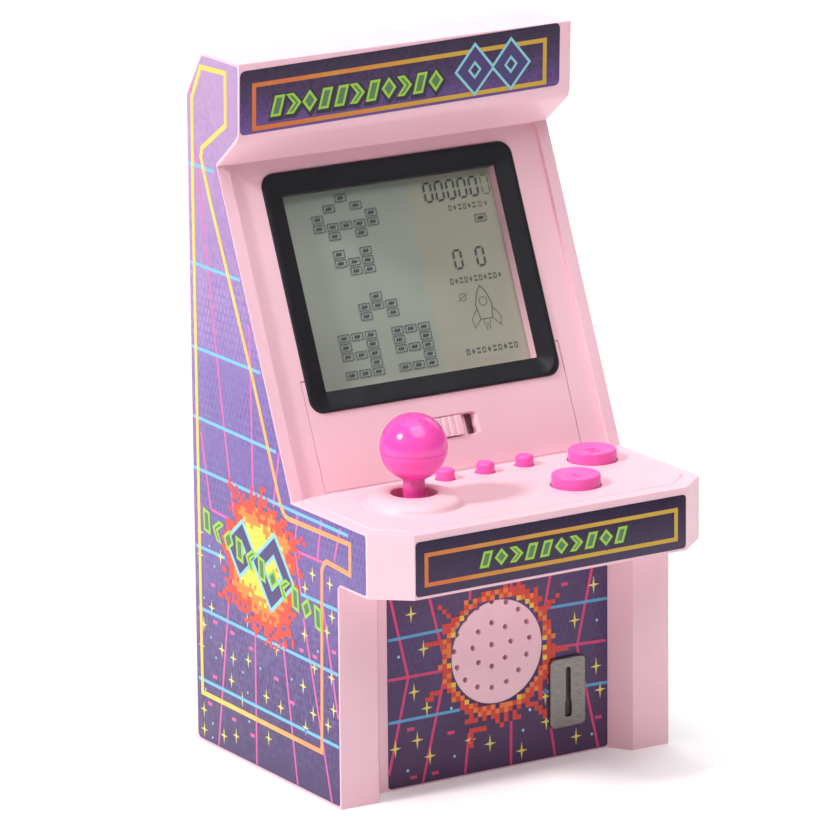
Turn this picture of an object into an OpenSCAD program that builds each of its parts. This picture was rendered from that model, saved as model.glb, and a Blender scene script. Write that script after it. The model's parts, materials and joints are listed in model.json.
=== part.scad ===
// Palm-size tabletop arcade cabinet with a segment LCD, a small ball-top
// joystick, three small and two large push buttons, a slide switch, a
// speaker and a three-cell battery bay.
// Frame: origin at the middle of the base, +Z up, the player at -Y, +X to
// the player's right. Millimetres.

/* [Cabinet] */
// Overall height
body_h = 150; // [150:0.5:150]
// Overall width over the two side walls
body_w = 81.4; // [81.4:0.1:82.4]
// Half of the overall depth, base centre to back
half_d = 38; // [38:0.1:38.4]
// Moulded wall thickness
wall = 2.2; // [2.0:0.1:2.3]
// Width of the raised rim on each side of the screen slope
rim_w = 2.7; // [2.3:0.1:3.0]
// Depth of the screen slope below its rims
slope_recess = 1.0; // [0.8:0.1:1.1]

/* [Controls] */
// Joystick axis, left-right position
joy_x = -20.6; // [-21.5:0.1:-20]
// Joystick axis, front-back position
joy_y = -17.7; // [-18.2:0.1:-17]
// Ball knob radius
ball_r = 7.05; // [6.6:0.05:7.4]
// Small button radius
small_r = 1.95; // [1.8:0.05:2.05]
// Large button radius
large_r = 5.15; // [4.9:0.05:5.2]
// Gap round each button in its hole
gap = 0.2; // [0.15:0.05:0.25]

/* [Screen] */
// Half width of the clear window
lens_hw = 30.8; // [30.5:0.1:31]
// Half width of the visible display opening
view_hw = 26.15; // [25.5:0.05:26.3]

/* [Speaker] */
// Radius of each sound hole
hole_r = 0.55; // [0.5:0.05:0.6]

/* [Power] */
// Cell radius (AAA)
cell_r = 5.25; // [5.1:0.05:5.25]
// Cell length (AAA)
cell_l = 44.5; // [44:0.1:44.5]

/* [Hidden] */
$fn = 48;

hw = body_w / 2;          // 40.7
yb = half_d;              // back plane
deck_z = 61.5;            // top of the control deck
box_z = 47.9;             // underside of the control box
top_y = 25.8;  top_z = 127;   // head of the screen slope
foot_y = -2.43;               // foot of the slope, where it meets the deck
run = top_y - foot_y; rise = top_z - deck_z;
slope_a = atan2(rise, run);   // slope angle above the horizontal
slope_l = sqrt(run * run + rise * rise);
pan_y = -15.8;            // outer face of the lower front panel
leg_y = -20.6;            // front of the legs
btn_small = [[-5.1, -5.3], [4.75, -5.3], [14.6, -5.2]];
btn1 = [15.0, -24.1];
btn2 = [28.9, -9.4];
board_z = 51.9;           // top of the key board
spk = [-0.56, 27.6];      // speaker axis, x and z

// side view of the cabinet, [y, z], with the marquee's lower edge rounded
function arc(cx, cy, r, a0, a1, n) = [for (i = [0:n]) let (a = a0 + (a1 - a0) * i / n) [cx + r * cos(a), cy + r * sin(a)]];
side_pts = concat(
  [[yb, 0], [yb, 140.4], [31.6, body_h], [16.2, body_h]],
  arc(20.64, 136.1, 4, 181.8, 232, 6),
  [[top_y, top_z], [foot_y, deck_z], [-31.8, deck_z], [-31.8, box_z], [leg_y, box_z], [leg_y, 0]]);

// [y, z] polygon extruded along X, centred
module xprism(w, pts) { translate([-w / 2, 0, 0]) rotate([90, 0, 90]) linear_extrude(w) polygon(pts); }
// local frame of the screen slope: X across, Y up the slope, Z outward, 0 at its head
module on_slope() { translate([0, top_y, top_z]) rotate([slope_a, 0, 0]) children(); }
// a block in the slope frame: half width, distances s0..s1 down the slope, levels z0..z1
module sblock(x0, x1, s0, s1, z0, z1) { translate([x0, -s1, z0]) cube([x1 - x0, s1 - s0, z1 - z0]); }
module rrect(x0, x1, y0, y1, r, n = 24) {
  translate([x0 + r, y0]) square([x1 - x0 - 2 * r, y1 - y0]);
  translate([x0, y0 + r]) square([x1 - x0, y1 - y0 - 2 * r]);
  for (x = [x0 + r, x1 - r], y = [y0 + r, y1 - r]) translate([x, y]) circle(r, $fn = n);
}
module ycyl(x, y0, y1, z, r) { translate([x, y0, z]) rotate([-90, 0, 0]) cylinder(r = r, h = y1 - y0); }
module xcyl(x0, x1, y, z, r) { translate([x0, y, z]) rotate([0, 90, 0]) cylinder(r = r, h = x1 - x0); }
module zcyl(x, y, z0, z1, r) { translate([x, y, z0]) cylinder(r = r, h = z1 - z0); }

cover_bosses = [[-35.3, 9], [35.3, 9], [-35.3, 131.2], [35.3, 131.2]];
key_bosses = [[-34, -30.5], [33, -28], [-34, -5], [21.8, -3.9]];
sound_holes = concat([[0, 0]],
  [for (i = [0:7]) [4.7 * cos(45 * i), 4.7 * sin(45 * i)]],
  [for (i = [0:15]) [9.35 * cos(22.5 * i), 9.35 * sin(22.5 * i)]]);

// ---------------------------------------------------------------- casing
module cabinet_outer() {
  xprism(body_w, side_pts);
  translate([0, 0, box_z]) linear_extrude(deck_z - box_z)
    polygon([[-hw, -24], [-hw, -31.8], [-33.3, -38], [33.3, -38], [hw, -31.8], [hw, -24]]);
}
module cabinet_hollow() {
  xprism(2 * (hw - wall), [[pan_y + wall, wall], [yb + 1, wall], [yb + 1, 137.5], [35.8, 137.5], [35.8, 139.7],
    [30.4, body_h - wall], [18.7, body_h - wall], [18.7, 135.3], [29.1, 127.1], [-0.1, deck_z - wall], [pan_y + wall, deck_z - wall]]);
  translate([0, 0, box_z + wall]) linear_extrude(deck_z - box_z - 2 * wall)
    polygon([[-38.5, -10], [-38.5, -30.8], [-32.5, -35.8], [32.5, -35.8], [38.5, -30.8], [38.5, -10]]);
  for (s = [-1, 1]) translate([s * 36.25 - 2.25, leg_y + wall, wall]) cube([4.5, 5, box_z]);
}
// the raised collar round the joystick
module joy_collar() {
  translate([joy_x, joy_y, deck_z]) rotate_extrude()
    polygon(concat([[4.0, -0.4], [10.3, -0.4], [10.3, 0]],
      [for (i = [1:8]) [5.6 + 4.7 * cos(i * 11.25), 2.7 * sin(i * 11.25)]], [[4.0, 2.7]]));
}
module cabinet_shell() color([0.98, 0.80, 0.88]) difference() {
  union() {
    difference() {
      cabinet_outer();
      cabinet_hollow();
    }
    joy_collar();
    // faint raised plateau on the deck, with cut corners
    translate([0, 0, deck_z - 0.3]) linear_extrude(0.55)
      polygon([[-38.2, foot_y - 0.6], [-38.2, -29.6], [-32.4, -34.6], [32.4, -34.6], [38.2, -29.6], [38.2, foot_y - 0.6]]);
    for (b = cover_bosses) ycyl(b[0], 29, 35.8, b[1], 3.3);
    for (b = key_bosses) zcyl(b[0], b[1], board_z, deck_z - wall + 0.1, 2.1);
    // ring that locates the speaker
    difference() { ycyl(spk[0], pan_y + wall - 0.1, -10.6, spk[1], 15.8); ycyl(spk[0], pan_y + wall - 0.2, -10, spk[1], 14.3); }
  }
  // space between the legs
  translate([0, 0, -1]) linear_extrude(box_z + 1)
    polygon([[-31.6, leg_y - 1], [-31.6, leg_y], [-28.4, pan_y], [28.4, pan_y], [31.6, leg_y], [31.6, leg_y - 1]]);
  // recessed slope between the rims, the opening for the screen panel and the window's seat
  intersection() {
    translate([-60, -60, deck_z + 0.25]) cube([120, 120, 120]);
    on_slope() union() {
      sblock(-hw + rim_w, hw - rim_w, 0.0, slope_l + 3, -slope_recess, 3);
      sblock(-29.6, 29.6, 4.2, 47, -6, 3);
      sblock(-31.9, 31.9, 46.9, slope_l + 3, -3.3, 3);
      translate([0, 0, -1.62]) linear_extrude(3) rrect(-lens_hw - 0.1, lens_hw + 0.1, -54.2, -2.9, 3.1);
    }
  }
  zcyl(joy_x, joy_y, 50, 70, 4.8);
  for (b = btn_small) zcyl(b[0], b[1], 58, 63, small_r + gap);
  for (b = [btn1, btn2]) zcyl(b[0], b[1], 58, 63, large_r + gap);
  for (b = cover_bosses) ycyl(b[0], 28.8, 36, b[1], 1.02);
  for (b = key_bosses) zcyl(b[0], b[1], 50, 58.4, 0.82);
  for (s = [-1, 1]) zcyl(joy_x, joy_y + s * 9.2, 58, 61.6, 0.72);
  for (h = sound_holes) ycyl(spk[0] + h[0], pan_y - 1, pan_y + wall + 1, spk[1] + h[1], hole_r);
}

// panel below and round the window, set into the slope
module screen_panel() color([0.97, 0.78, 0.87]) difference() {
  intersection() {
    translate([-60, -60, deck_z + 0.3]) cube([120, 120, 120]);
    on_slope() union() {
      sblock(-29.5, 29.5, 4.3, 47.2, -4, -1.62);
      sblock(-31.8, 31.8, 47.1, slope_l + 3, -3.2, -1.0);
      sblock(-29.5, 29.5, 46, 64.5, -4, -1.62);
      sblock(-33.2, 33.2, 3.0, 66.5, -4.0, -3.4);
    }
  }
  on_slope() {
    sblock(-view_hw, view_hw, 7.6, 49.8, -5, 1);
    translate([0, 0, -1.62]) linear_extrude(3) rrect(-lens_hw - 0.1, lens_hw + 0.1, -54.2, -2.9, 3.1);
    // slot of the power switch
    sblock(-3.0, 7.3, 59.0, 63.5, -5, 1);
    sblock(-6.2, 10.3, 58.0, 64.6, -5, -2.4);
  }
}

module screen_lens() color([0.75, 0.8, 0.85, 0.35]) on_slope()
  translate([0, 0, -1.5]) linear_extrude(1.0) rrect(-lens_hw, lens_hw, -54.1, -3.0, 3.0);
module screen_mask() color([0.05, 0.05, 0.06]) on_slope() translate([0, 0, -1.6]) linear_extrude(0.1) difference() {
  rrect(-lens_hw + 0.1, lens_hw - 0.1, -54.0, -3.1, 2.9);
  translate([-view_hw, -49.8]) square([2 * view_hw, 42.2]);
}
module lcd_glass() color([0.58, 0.62, 0.55]) on_slope() union() {
  sblock(-28.4, 28.4, 5.6, 51.6, -5.2, -4.1);
  sblock(-28.4, 28.4, 5.6, 48.6, -6.3, -5.2);
}
module lcd_frame() color([0.94, 0.93, 0.94]) on_slope() difference() {
  sblock(-30.4, 30.4, 3.8, 53.4, -8.9, -4.05);
  sblock(-28.5, 28.5, 5.5, 51.7, -6.35, -3);
  sblock(-26.8, 26.8, 7.2, 51.7, -9.5, -3);
}
module lcd_connector() color([0.35, 0.35, 0.4]) on_slope() sblock(-24, 24, 49.0, 51.2, -8.98, -5.25);
module main_board() color([0.12, 0.38, 0.22]) on_slope() difference() {
  sblock(-34, 34, 2.0, 66.8, -10.2, -9.0);
  for (x = [-32.2, 32.2], s = [6, 62]) translate([x, -s, -11]) cylinder(r = 1.1, h = 3);
}
// screws with the spacers that hang the board behind the panel
module main_board_screws() color([0.75, 0.75, 0.78]) on_slope() for (x = [-32.2, 32.2], s = [6, 62]) translate([x, -s, 0]) {
  translate([0, 0, -11.2]) cylinder(r = 1.8, h = 1.0);
  translate([0, 0, -10.21]) cylinder(r = 0.85, h = 4);
  translate([0, 0, -8.98]) difference() { cylinder(r = 1.6, h = 4.9); translate([0, 0, -0.1]) cylinder(r = 0.8, h = 1); }
}
module controller_chip() color([0.07, 0.07, 0.08]) on_slope() translate([4, -30, -10.2]) rotate([180, 0, 0])
  rotate_extrude() polygon(concat([[0, 0], [8, 0]], [for (i = [1:6]) [8 * cos(15 * i), 1.9 * sin(15 * i)]]));

// ------------------------------------------------------------- rear cover
cz0 = 2.4; cz1 = 137.3;
module rear_cover() color([0.97, 0.79, 0.87]) difference() {
  union() {
    translate([-38.3, 35.8, cz0]) cube([76.6, 2.2, cz1 - cz0]);
    translate([-27.2, 34.9, 16.2]) cube([54.4, 1.1, 46]);
    // cell tray
    translate([-26.4, 22.6, 17.9]) cube([52.8, 13.0, 36.9]);
    ycyl(0, 29.5, 35.9, 57.2, 3.0);
  }
  translate([-24.9, 24.0, 19.4]) cube([49.8, 20, 33.9]);
  // seat of the door, tongue slots, screw
  translate([-25.6, 36.1, 18]) cube([51.2, 3, 42.4]);
  for (s = [-1, 1]) translate([s * 15 - 3.6, 35.6, 16.6]) cube([7.2, 1.45, 2.9]);
  ycyl(0, 30.5, 38.5, 57.2, 1.5);
  // screw wells and vents
  for (b = cover_bosses) { ycyl(b[0], 35, 39, b[1], 1.15); ycyl(b[0], 36.9, 39, b[1], 2.3); }
  // lead-outs for the wires through the tray's back
  for (s = [-1, 1]) ycyl(s * 24.0, 22, 25, 53.0 - 3.4, 0.75);
}
module rear_cover_screws() color([0.78, 0.78, 0.8]) for (b = cover_bosses) difference() {
  union() { ycyl(b[0], 36.9, 37.9, b[1], 2.0); ycyl(b[0], 30.5, 37, b[1], 1.0); }
  translate([b[0] - 1.3, 37.5, b[1] - 0.2]) cube([2.6, 1, 0.4]);
  translate([b[0] - 0.2, 37.5, b[1] - 1.3]) cube([0.4, 1, 2.6]);
}
module battery_door() color([0.97, 0.79, 0.87]) difference() {
  union() {
    translate([-25.35, 36.25, 18.25]) cube([50.7, 1.65, 41.9]);
    for (s = [-1, 1]) translate([s * 15 - 3.2, 36.5, 16.8]) cube([6.4, 0.45, 1.8]);
    // grip ribs
    for (i = [0:4]) translate([-9, 37.8, 48 - 1.8 * i]) cube([18, 0.35, 0.8]);
  }
  ycyl(0, 36, 39, 57.2, 1.1);
  ycyl(0, 37.1, 39, 57.2, 2.3);
}
module battery_door_screw() color([0.78, 0.78, 0.8]) difference() {
  union() { ycyl(0, 37.1, 38.0, 57.2, 2.0); ycyl(0, 32.6, 37.2, 57.2, 0.95); ycyl(0, 35.3, 36.1, 57.2, 1.35); }
  translate([-1.3, 37.6, 57.0]) cube([2.6, 1, 0.4]);
  translate([-0.2, 37.6, 55.9]) cube([0.4, 1, 2.6]);
}
cell_z = [25.05, 36.35, 47.65];
module battery_cells() color([0.2, 0.45, 0.7]) for (i = [0:2]) let (s = i % 2 == 0 ? 1 : -1)
  translate([0, 29.6, cell_z[i]]) rotate([0, s * 90, 0]) {
    translate([0, 0, -cell_l / 2]) cylinder(r = cell_r, h = cell_l - 1);
    translate([0, 0, cell_l / 2 - 1.01]) cylinder(r = 1.9, h = 1.01);
  }
module battery_springs() color([0.8, 0.8, 0.82]) for (i = [0:2]) let (s = i % 2 == 0 ? 1 : -1)
  translate([0, 29.6, cell_z[i]]) rotate([0, -s * 90, 0]) {
    translate([-4, -4, 24.35]) cube([8, 8, 0.45]);
    for (k = [0:2]) translate([0, 0, 22.6 + 0.62 * k]) rotate_extrude() translate([2.2 + 0.6 * k, 0]) circle(0.27, $fn = 16);
  }
module battery_plates() color([0.8, 0.8, 0.82]) for (i = [0:2]) let (s = i % 2 == 0 ? 1 : -1)
  translate([0, 29.6, cell_z[i]]) rotate([0, s * 90, 0]) {
    translate([-4, -4, 24.35]) cube([8, 8, 0.45]);
    translate([0, 0, 22.32]) cylinder(r = 2.2, h = 2.1);
  }

// ----------------------------------------------------------------- labels
label_t = 0.12;
side_label_pts = [[37.5, 1.4], [37.5, 140.1], [31.3, 149.4], [16.8, 149.4], [17.2, 135.2], [18.6, 133.6], [26.3, 127.4],
  [-1.8, 62.0], [-1.9, 61.0], [-31.2, 61.0], [-31.2, 48.4], [-21.2, 48.4], [-20.1, 47.4], [-20.1, 0.6], [36.7, 0.6]];
module left_side_label() color([0.62, 0.52, 0.78]) translate([-hw - label_t / 2, 0, 0]) xprism(label_t, side_label_pts);
module right_side_label() color([0.62, 0.52, 0.78]) translate([hw + label_t / 2, 0, 0]) xprism(label_t, side_label_pts);
module marquee_label() color([0.3, 0.25, 0.36]) translate([-1.3, 16.45, 142.3]) rotate([0, -1.1, 0]) rotate([90 + 1.6, 0, 0])
  translate([0, 0, 0.2]) linear_extrude(label_t) rrect(-39.2, 39.2, -6.6, 6.9, 1);
module control_label() color([0.3, 0.25, 0.36]) translate([0, -38, 0]) rotate([90, 0, 0])
  linear_extrude(label_t) rrect(-33.05, 33.05, 48.5, 60.0, 0.8);
module lower_label() color([0.36, 0.28, 0.44]) difference() {
  translate([0, pan_y, 0]) rotate([90, 0, 0]) linear_extrude(label_t) rrect(-26.3, 28.3, 0.4, 47.6, 0.8);
  ycyl(0.6, pan_y - 1, pan_y + 1, 25.9, 11.2);
}
module coin_plate() color([0.7, 0.7, 0.69]) translate([17.9, pan_y - label_t, 14.3]) rotate([90, 0, 0]) linear_extrude(0.75) difference() {
  rrect(-4.45, 4.45, -7.7, 7.7, 1.2);
  union() { translate([-0.55, -4]) square([1.1, 9]); translate([-0.8, -4.6]) square([1.6, 3.2]);
    translate([0, 5]) circle(0.55); translate([0, -4.6]) circle(0.8); }
}

// ---------------------------------------------------------------- keyboard
module key_board() color([0.12, 0.38, 0.22]) translate([0, 0, board_z - 1]) difference() {
  linear_extrude(1) polygon([[-36.5, -1.2], [-36.5, -31.8], [-31.5, -34.6], [31.5, -34.6], [36.5, -31.8], [36.5, -1.2]]);
  for (b = key_bosses) translate([b[0], b[1], -1]) cylinder(r = 0.95, h = 3);
}
module key_board_screws() color([0.78, 0.78, 0.8]) for (b = key_bosses) {
  zcyl(b[0], b[1], board_z - 1.65, board_z - 1, 1.7);
  zcyl(b[0], b[1], board_z - 1.1, 57.2, 0.8);
}
module ribbon_cable() color([0.85, 0.85, 0.82]) translate([-13.5, 0, 0]) xprism(10,
  [[9.6, 63.4], [12.4, 62.6], [12.4, 60.0], [7, 54.2], [3, 52.4], [-3.4, 52.3], [-3.4, 51.92], [3.1, 51.95], [7.3, 53.8], [12.8, 59.8], [12.8, 62.9], [9.7, 63.8]]);
module dome(b, r) translate([b[0], b[1], board_z + 0.01]) rotate_extrude()
  polygon([[0, 2.2], [0, 3.35], [1.25, 3.35], [1.45, 3.1], [1.7, 1.9], [r - 0.5, 0.6], [r, 0.5], [r, 0], [r - 0.7, 0], [1.1, 1.5], [1.0, 2.2]]);
module dome_small_left() color([0.92, 0.92, 0.9]) dome(btn_small[0], 2.9);
module dome_small_middle() color([0.92, 0.92, 0.9]) dome(btn_small[1], 2.9);
module dome_small_right() color([0.92, 0.92, 0.9]) dome(btn_small[2], 2.9);
module dome_1() color([0.92, 0.92, 0.9]) dome(btn1, 3.8);
module dome_2() color([0.92, 0.92, 0.9]) dome(btn2, 3.8);

module small_button(b) translate([b[0], b[1], 0]) rotate_extrude()
  polygon(concat([[0, 55.4], [1.3, 55.4], [1.3, 58.3], [small_r + 0.9, 58.3], [small_r + 0.9, 59.2], [small_r, 59.2]],
    [for (i = [0:5]) [small_r - 0.75 + 0.75 * cos(18 * i), 63.35 + 0.65 * sin(18 * i)]], [[0, 64.05]]));
module large_button(b) translate([b[0], b[1], 0]) rotate_extrude()
  polygon([[0, 55.4], [1.6, 55.4], [1.6, 58.3], [large_r + 0.9, 58.3], [large_r + 0.9, 59.2], [large_r, 59.2],
    [large_r, 63.8], [large_r - 0.35, 64.2], [large_r - 0.9, 64.15], [large_r - 1.6, 63.85], [2, 63.65], [0, 63.6]]);
module button_small_left() color([1, 0.3, 0.7]) small_button(btn_small[0]);
module button_small_middle() color([1, 0.3, 0.7]) small_button(btn_small[1]);
module button_small_right() color([1, 0.3, 0.7]) small_button(btn_small[2]);
module button_1() color([1, 0.3, 0.7]) difference() {
  large_button(btn1);
  translate([btn1[0] - 0.25, btn1[1] - 1.5, 63.35]) cube([0.5, 3, 2]);
}
module button_2() color([1, 0.3, 0.7]) difference() {
  large_button(btn2);
  translate([btn2[0], btn2[1], 63.35]) {
    translate([-1.1, 1.0, 0]) cube([2.2, 0.45, 2]);
    translate([-1.1, -0.22, 0]) cube([2.2, 0.45, 2]);
    translate([-1.1, -1.45, 0]) cube([2.2, 0.45, 2]);
    translate([0.65, 0, 0]) cube([0.45, 1.3, 2]);
    translate([-1.1, -1.3, 0]) cube([0.45, 1.3, 2]);
  }
}

// ---------------------------------------------------------------- joystick
piv = 57;                 // height of the pivot
ball_z = 73.75;
module joystick_ball() color([1, 0.3, 0.72]) difference() {
  translate([joy_x, joy_y, ball_z]) rotate_extrude() polygon(concat([[0, -6.6], [2.45, -6.6]],
    [for (i = [4:29]) [ball_r * cos(-90 + 6 * i), ball_r * sin(-90 + 6 * i)]], [[0, ball_r]]));
  zcyl(joy_x, joy_y, ball_z - ball_r - 1, ball_z + 1, 1.5);
}
module joystick_shaft() color([1, 0.3, 0.72]) difference() {
  union() {
    zcyl(joy_x, joy_y, 55.0, ball_z - 6.6, 2.3);
    zcyl(joy_x, joy_y, ball_z - 6.7, ball_z + 0.9, 1.49);
    zcyl(joy_x, joy_y, 53.3, 55.1, 1.2);
  }
  ycyl(joy_x, joy_y - 4, joy_y + 4, piv, 0.6);
}
module joystick_cross_pin() color([0.8, 0.8, 0.82]) ycyl(joy_x, joy_y - 4.9, joy_y + 4.9, piv, 0.59);
module joystick_actuator() color([0.9, 0.9, 0.9]) difference() {
  union() { zcyl(joy_x, joy_y, 53.3, 54.1, 4.3); zcyl(joy_x, joy_y, 54, 54.98, 2.2); }
  zcyl(joy_x, joy_y, 53, 56, 1.21);
}
module gimbal_ring() color([0.9, 0.9, 0.9]) difference() {
  union() {
    difference() { zcyl(joy_x, joy_y, 55.8, 58.2, 5.1); zcyl(joy_x, joy_y, 55, 59, 3.4); }
    for (s = [-1, 1]) xcyl(joy_x + (s < 0 ? -7.3 : 4.9), joy_x + (s < 0 ? -4.9 : 7.3), joy_y, piv, 0.6);
  }
  ycyl(joy_x, joy_y - 6, joy_y + 6, piv, 0.64);
}
module joystick_housing() color([0.88, 0.88, 0.9]) difference() {
  union() { zcyl(joy_x, joy_y, 55.2, 59.28, 7.7); zcyl(joy_x, joy_y, 58.1, 59.28, 11); }
  zcyl(joy_x, joy_y, 50, 60, 5.8);
  xcyl(joy_x - 9, joy_x + 9, joy_y, piv, 0.65);
  for (s = [-1, 1]) zcyl(joy_x, joy_y + s * 9.2, 57, 60, 0.72);
}
module joystick_housing_screws() color([0.78, 0.78, 0.8]) for (s = [-1, 1]) {
  zcyl(joy_x, joy_y + s * 9.2, 57.2, 58.08, 1.2);
  zcyl(joy_x, joy_y + s * 9.2, 58.0, 61.2, 0.7);
}
module joystick_domes() color([0.92, 0.92, 0.9]) for (a = [0, 90, 180, 270])
  translate([joy_x + 3.3 * cos(a), joy_y + 3.3 * sin(a), board_z + 0.01])
    rotate_extrude() polygon([[0, 0], [1.4, 0], [1.4, 0.15], [0.9, 0.25], [0.7, 0.35], [0, 0.35]]);

// ------------------------------------------------------------ power switch
module power_switch_knob() color([0.98, 0.80, 0.88]) on_slope() difference() {
  union() {
    translate([0, 0, -2.3]) linear_extrude(1.75) rrect(-2.85, 4.1, -63.35, -59.15, 0.5);
    sblock(-4.6, 5.9, 58.6, 64.1, -3.2, -2.6);
    sblock(-2.7, 4.0, 59.4, 63.1, -2.7, -2.2);
    sblock(-0.5, 1.7, 60.2, 62.3, -5.9, -3.1);
  }
  for (x = [-0.95, 0.62, 2.2]) translate([x, -58, -0.1]) rotate([90, 0, 0]) cylinder(r = 0.6, h = 7);
}
module power_switch_body() color([0.75, 0.75, 0.77]) on_slope() difference() {
  sblock(-5.4, 9.6, 58.6, 64.1, -8.98, -4.6);
  sblock(-1.0, 5.2, 60.0, 62.5, -7, -4);
}

// ----------------------------------------------------------------- speaker
module speaker_basket() color([0.25, 0.25, 0.27]) translate([spk[0], 0, spk[1]]) rotate([-90, 0, 0]) rotate_extrude()
  polygon([[12.9, -13.4], [14.2, -13.4], [14.2, -11.4], [12.2, -9.6], [8.4, -8.2], [8.4, -9.0], [11.6, -10.4], [12.9, -11.6]]);
module speaker_cone() color([0.12, 0.12, 0.13]) translate([spk[0], 0, spk[1]]) rotate([-90, 0, 0]) rotate_extrude()
  polygon([[0, -11.3], [3.2, -10.4], [5, -10.6], [9, -12.3], [11.4, -13.0], [12.8, -12.4], [12.8, -12.0], [11.4, -12.5], [9, -11.8], [5, -10.1], [3.2, -9.9], [0, -10.7]]);
module speaker_magnet() color([0.5, 0.5, 0.52]) translate([spk[0], 0, spk[1]]) rotate([-90, 0, 0]) rotate_extrude()
  polygon([[0, -9.4], [2.6, -9.4], [2.6, -8.9], [8.3, -8.9], [8.3, -5.2], [0, -5.2]]);

// ------------------------------------------------------------------- wires
function unit(v) = v / norm(v);
// direction of a route at point i: the mean of the two stretches that meet there
function way(p, i) = unit((i > 0 ? unit(p[i] - p[i - 1]) : [0, 0, 0]) + (i < len(p) - 1 ? unit(p[i + 1] - p[i]) : [0, 0, 0]));
// closed tube of 8 sides swept along a route
module wire(p, r, n = 8) {
  m = len(p);
  pts = [for (i = [0:m - 1]) let (d = way(p, i), u = unit(cross(d, [1, 0.1, 0])), v = cross(d, u))
    for (k = [0:n - 1]) p[i] + r * (cos(360 * k / n) * u + sin(360 * k / n) * v)];
  sides = [for (i = [0:m - 2], k = [0:n - 1]) [i * n + k, i * n + (k + 1) % n, (i + 1) * n + (k + 1) % n, (i + 1) * n + k]];
  polyhedron(pts, concat([[for (k = [n - 1:-1:0]) k]], sides, [[for (k = [0:n - 1]) (m - 1) * n + k]]), convexity = 4);
}
bw_l = [[-24, 23.9, 49.6], [-24, 20, 49.6], [-22, 19, 58], [-18, 18, 68], [-16, 16.4, 74.2]];
bw_r = [[24, 23.9, 49.6], [24, 20, 49.6], [20, 19, 58], [10, 18, 68], [-12, 16.4, 74.2]];
sw_l = [[-4, -5.0, 27.6], [-4, 0, 29], [-8, 8, 40], [-22, 16, 60], [-24, 15.4, 71.6]];
sw_r = [[3, -5.0, 27.6], [3, 1, 30], [-4, 10, 42], [-17, 17, 60], [-20, 15.4, 71.6]];
module battery_wires() color([0.8, 0.1, 0.1]) { wire(bw_l, 0.6); wire(bw_r, 0.6); }
module speaker_wires() color([0.1, 0.1, 0.1]) { wire(sw_l, 0.5); wire(sw_r, 0.5); }

cabinet_shell();
screen_panel();
rear_cover();
rear_cover_screws();
battery_door();
battery_door_screw();
battery_cells();
battery_springs();
battery_plates();
left_side_label();
right_side_label();
marquee_label();
control_label();
lower_label();
coin_plate();
screen_lens();
screen_mask();
lcd_glass();
lcd_frame();
lcd_connector();
main_board();
main_board_screws();
controller_chip();
key_board();
key_board_screws();
ribbon_cable();
dome_small_left();
dome_small_middle();
dome_small_right();
dome_1();
dome_2();
button_small_left();
button_small_middle();
button_small_right();
button_1();
button_2();
joystick_ball();
joystick_shaft();
joystick_cross_pin();
joystick_actuator();
gimbal_ring();
joystick_housing();
joystick_housing_screws();
joystick_domes();
power_switch_knob();
power_switch_body();
speaker_basket();
speaker_cone();
speaker_magnet();
battery_wires();
speaker_wires();
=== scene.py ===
"""Looks of the palm-size arcade cabinet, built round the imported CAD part. Lengths are in millimetres until new_piece()."""

import json
import math
import random

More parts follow.
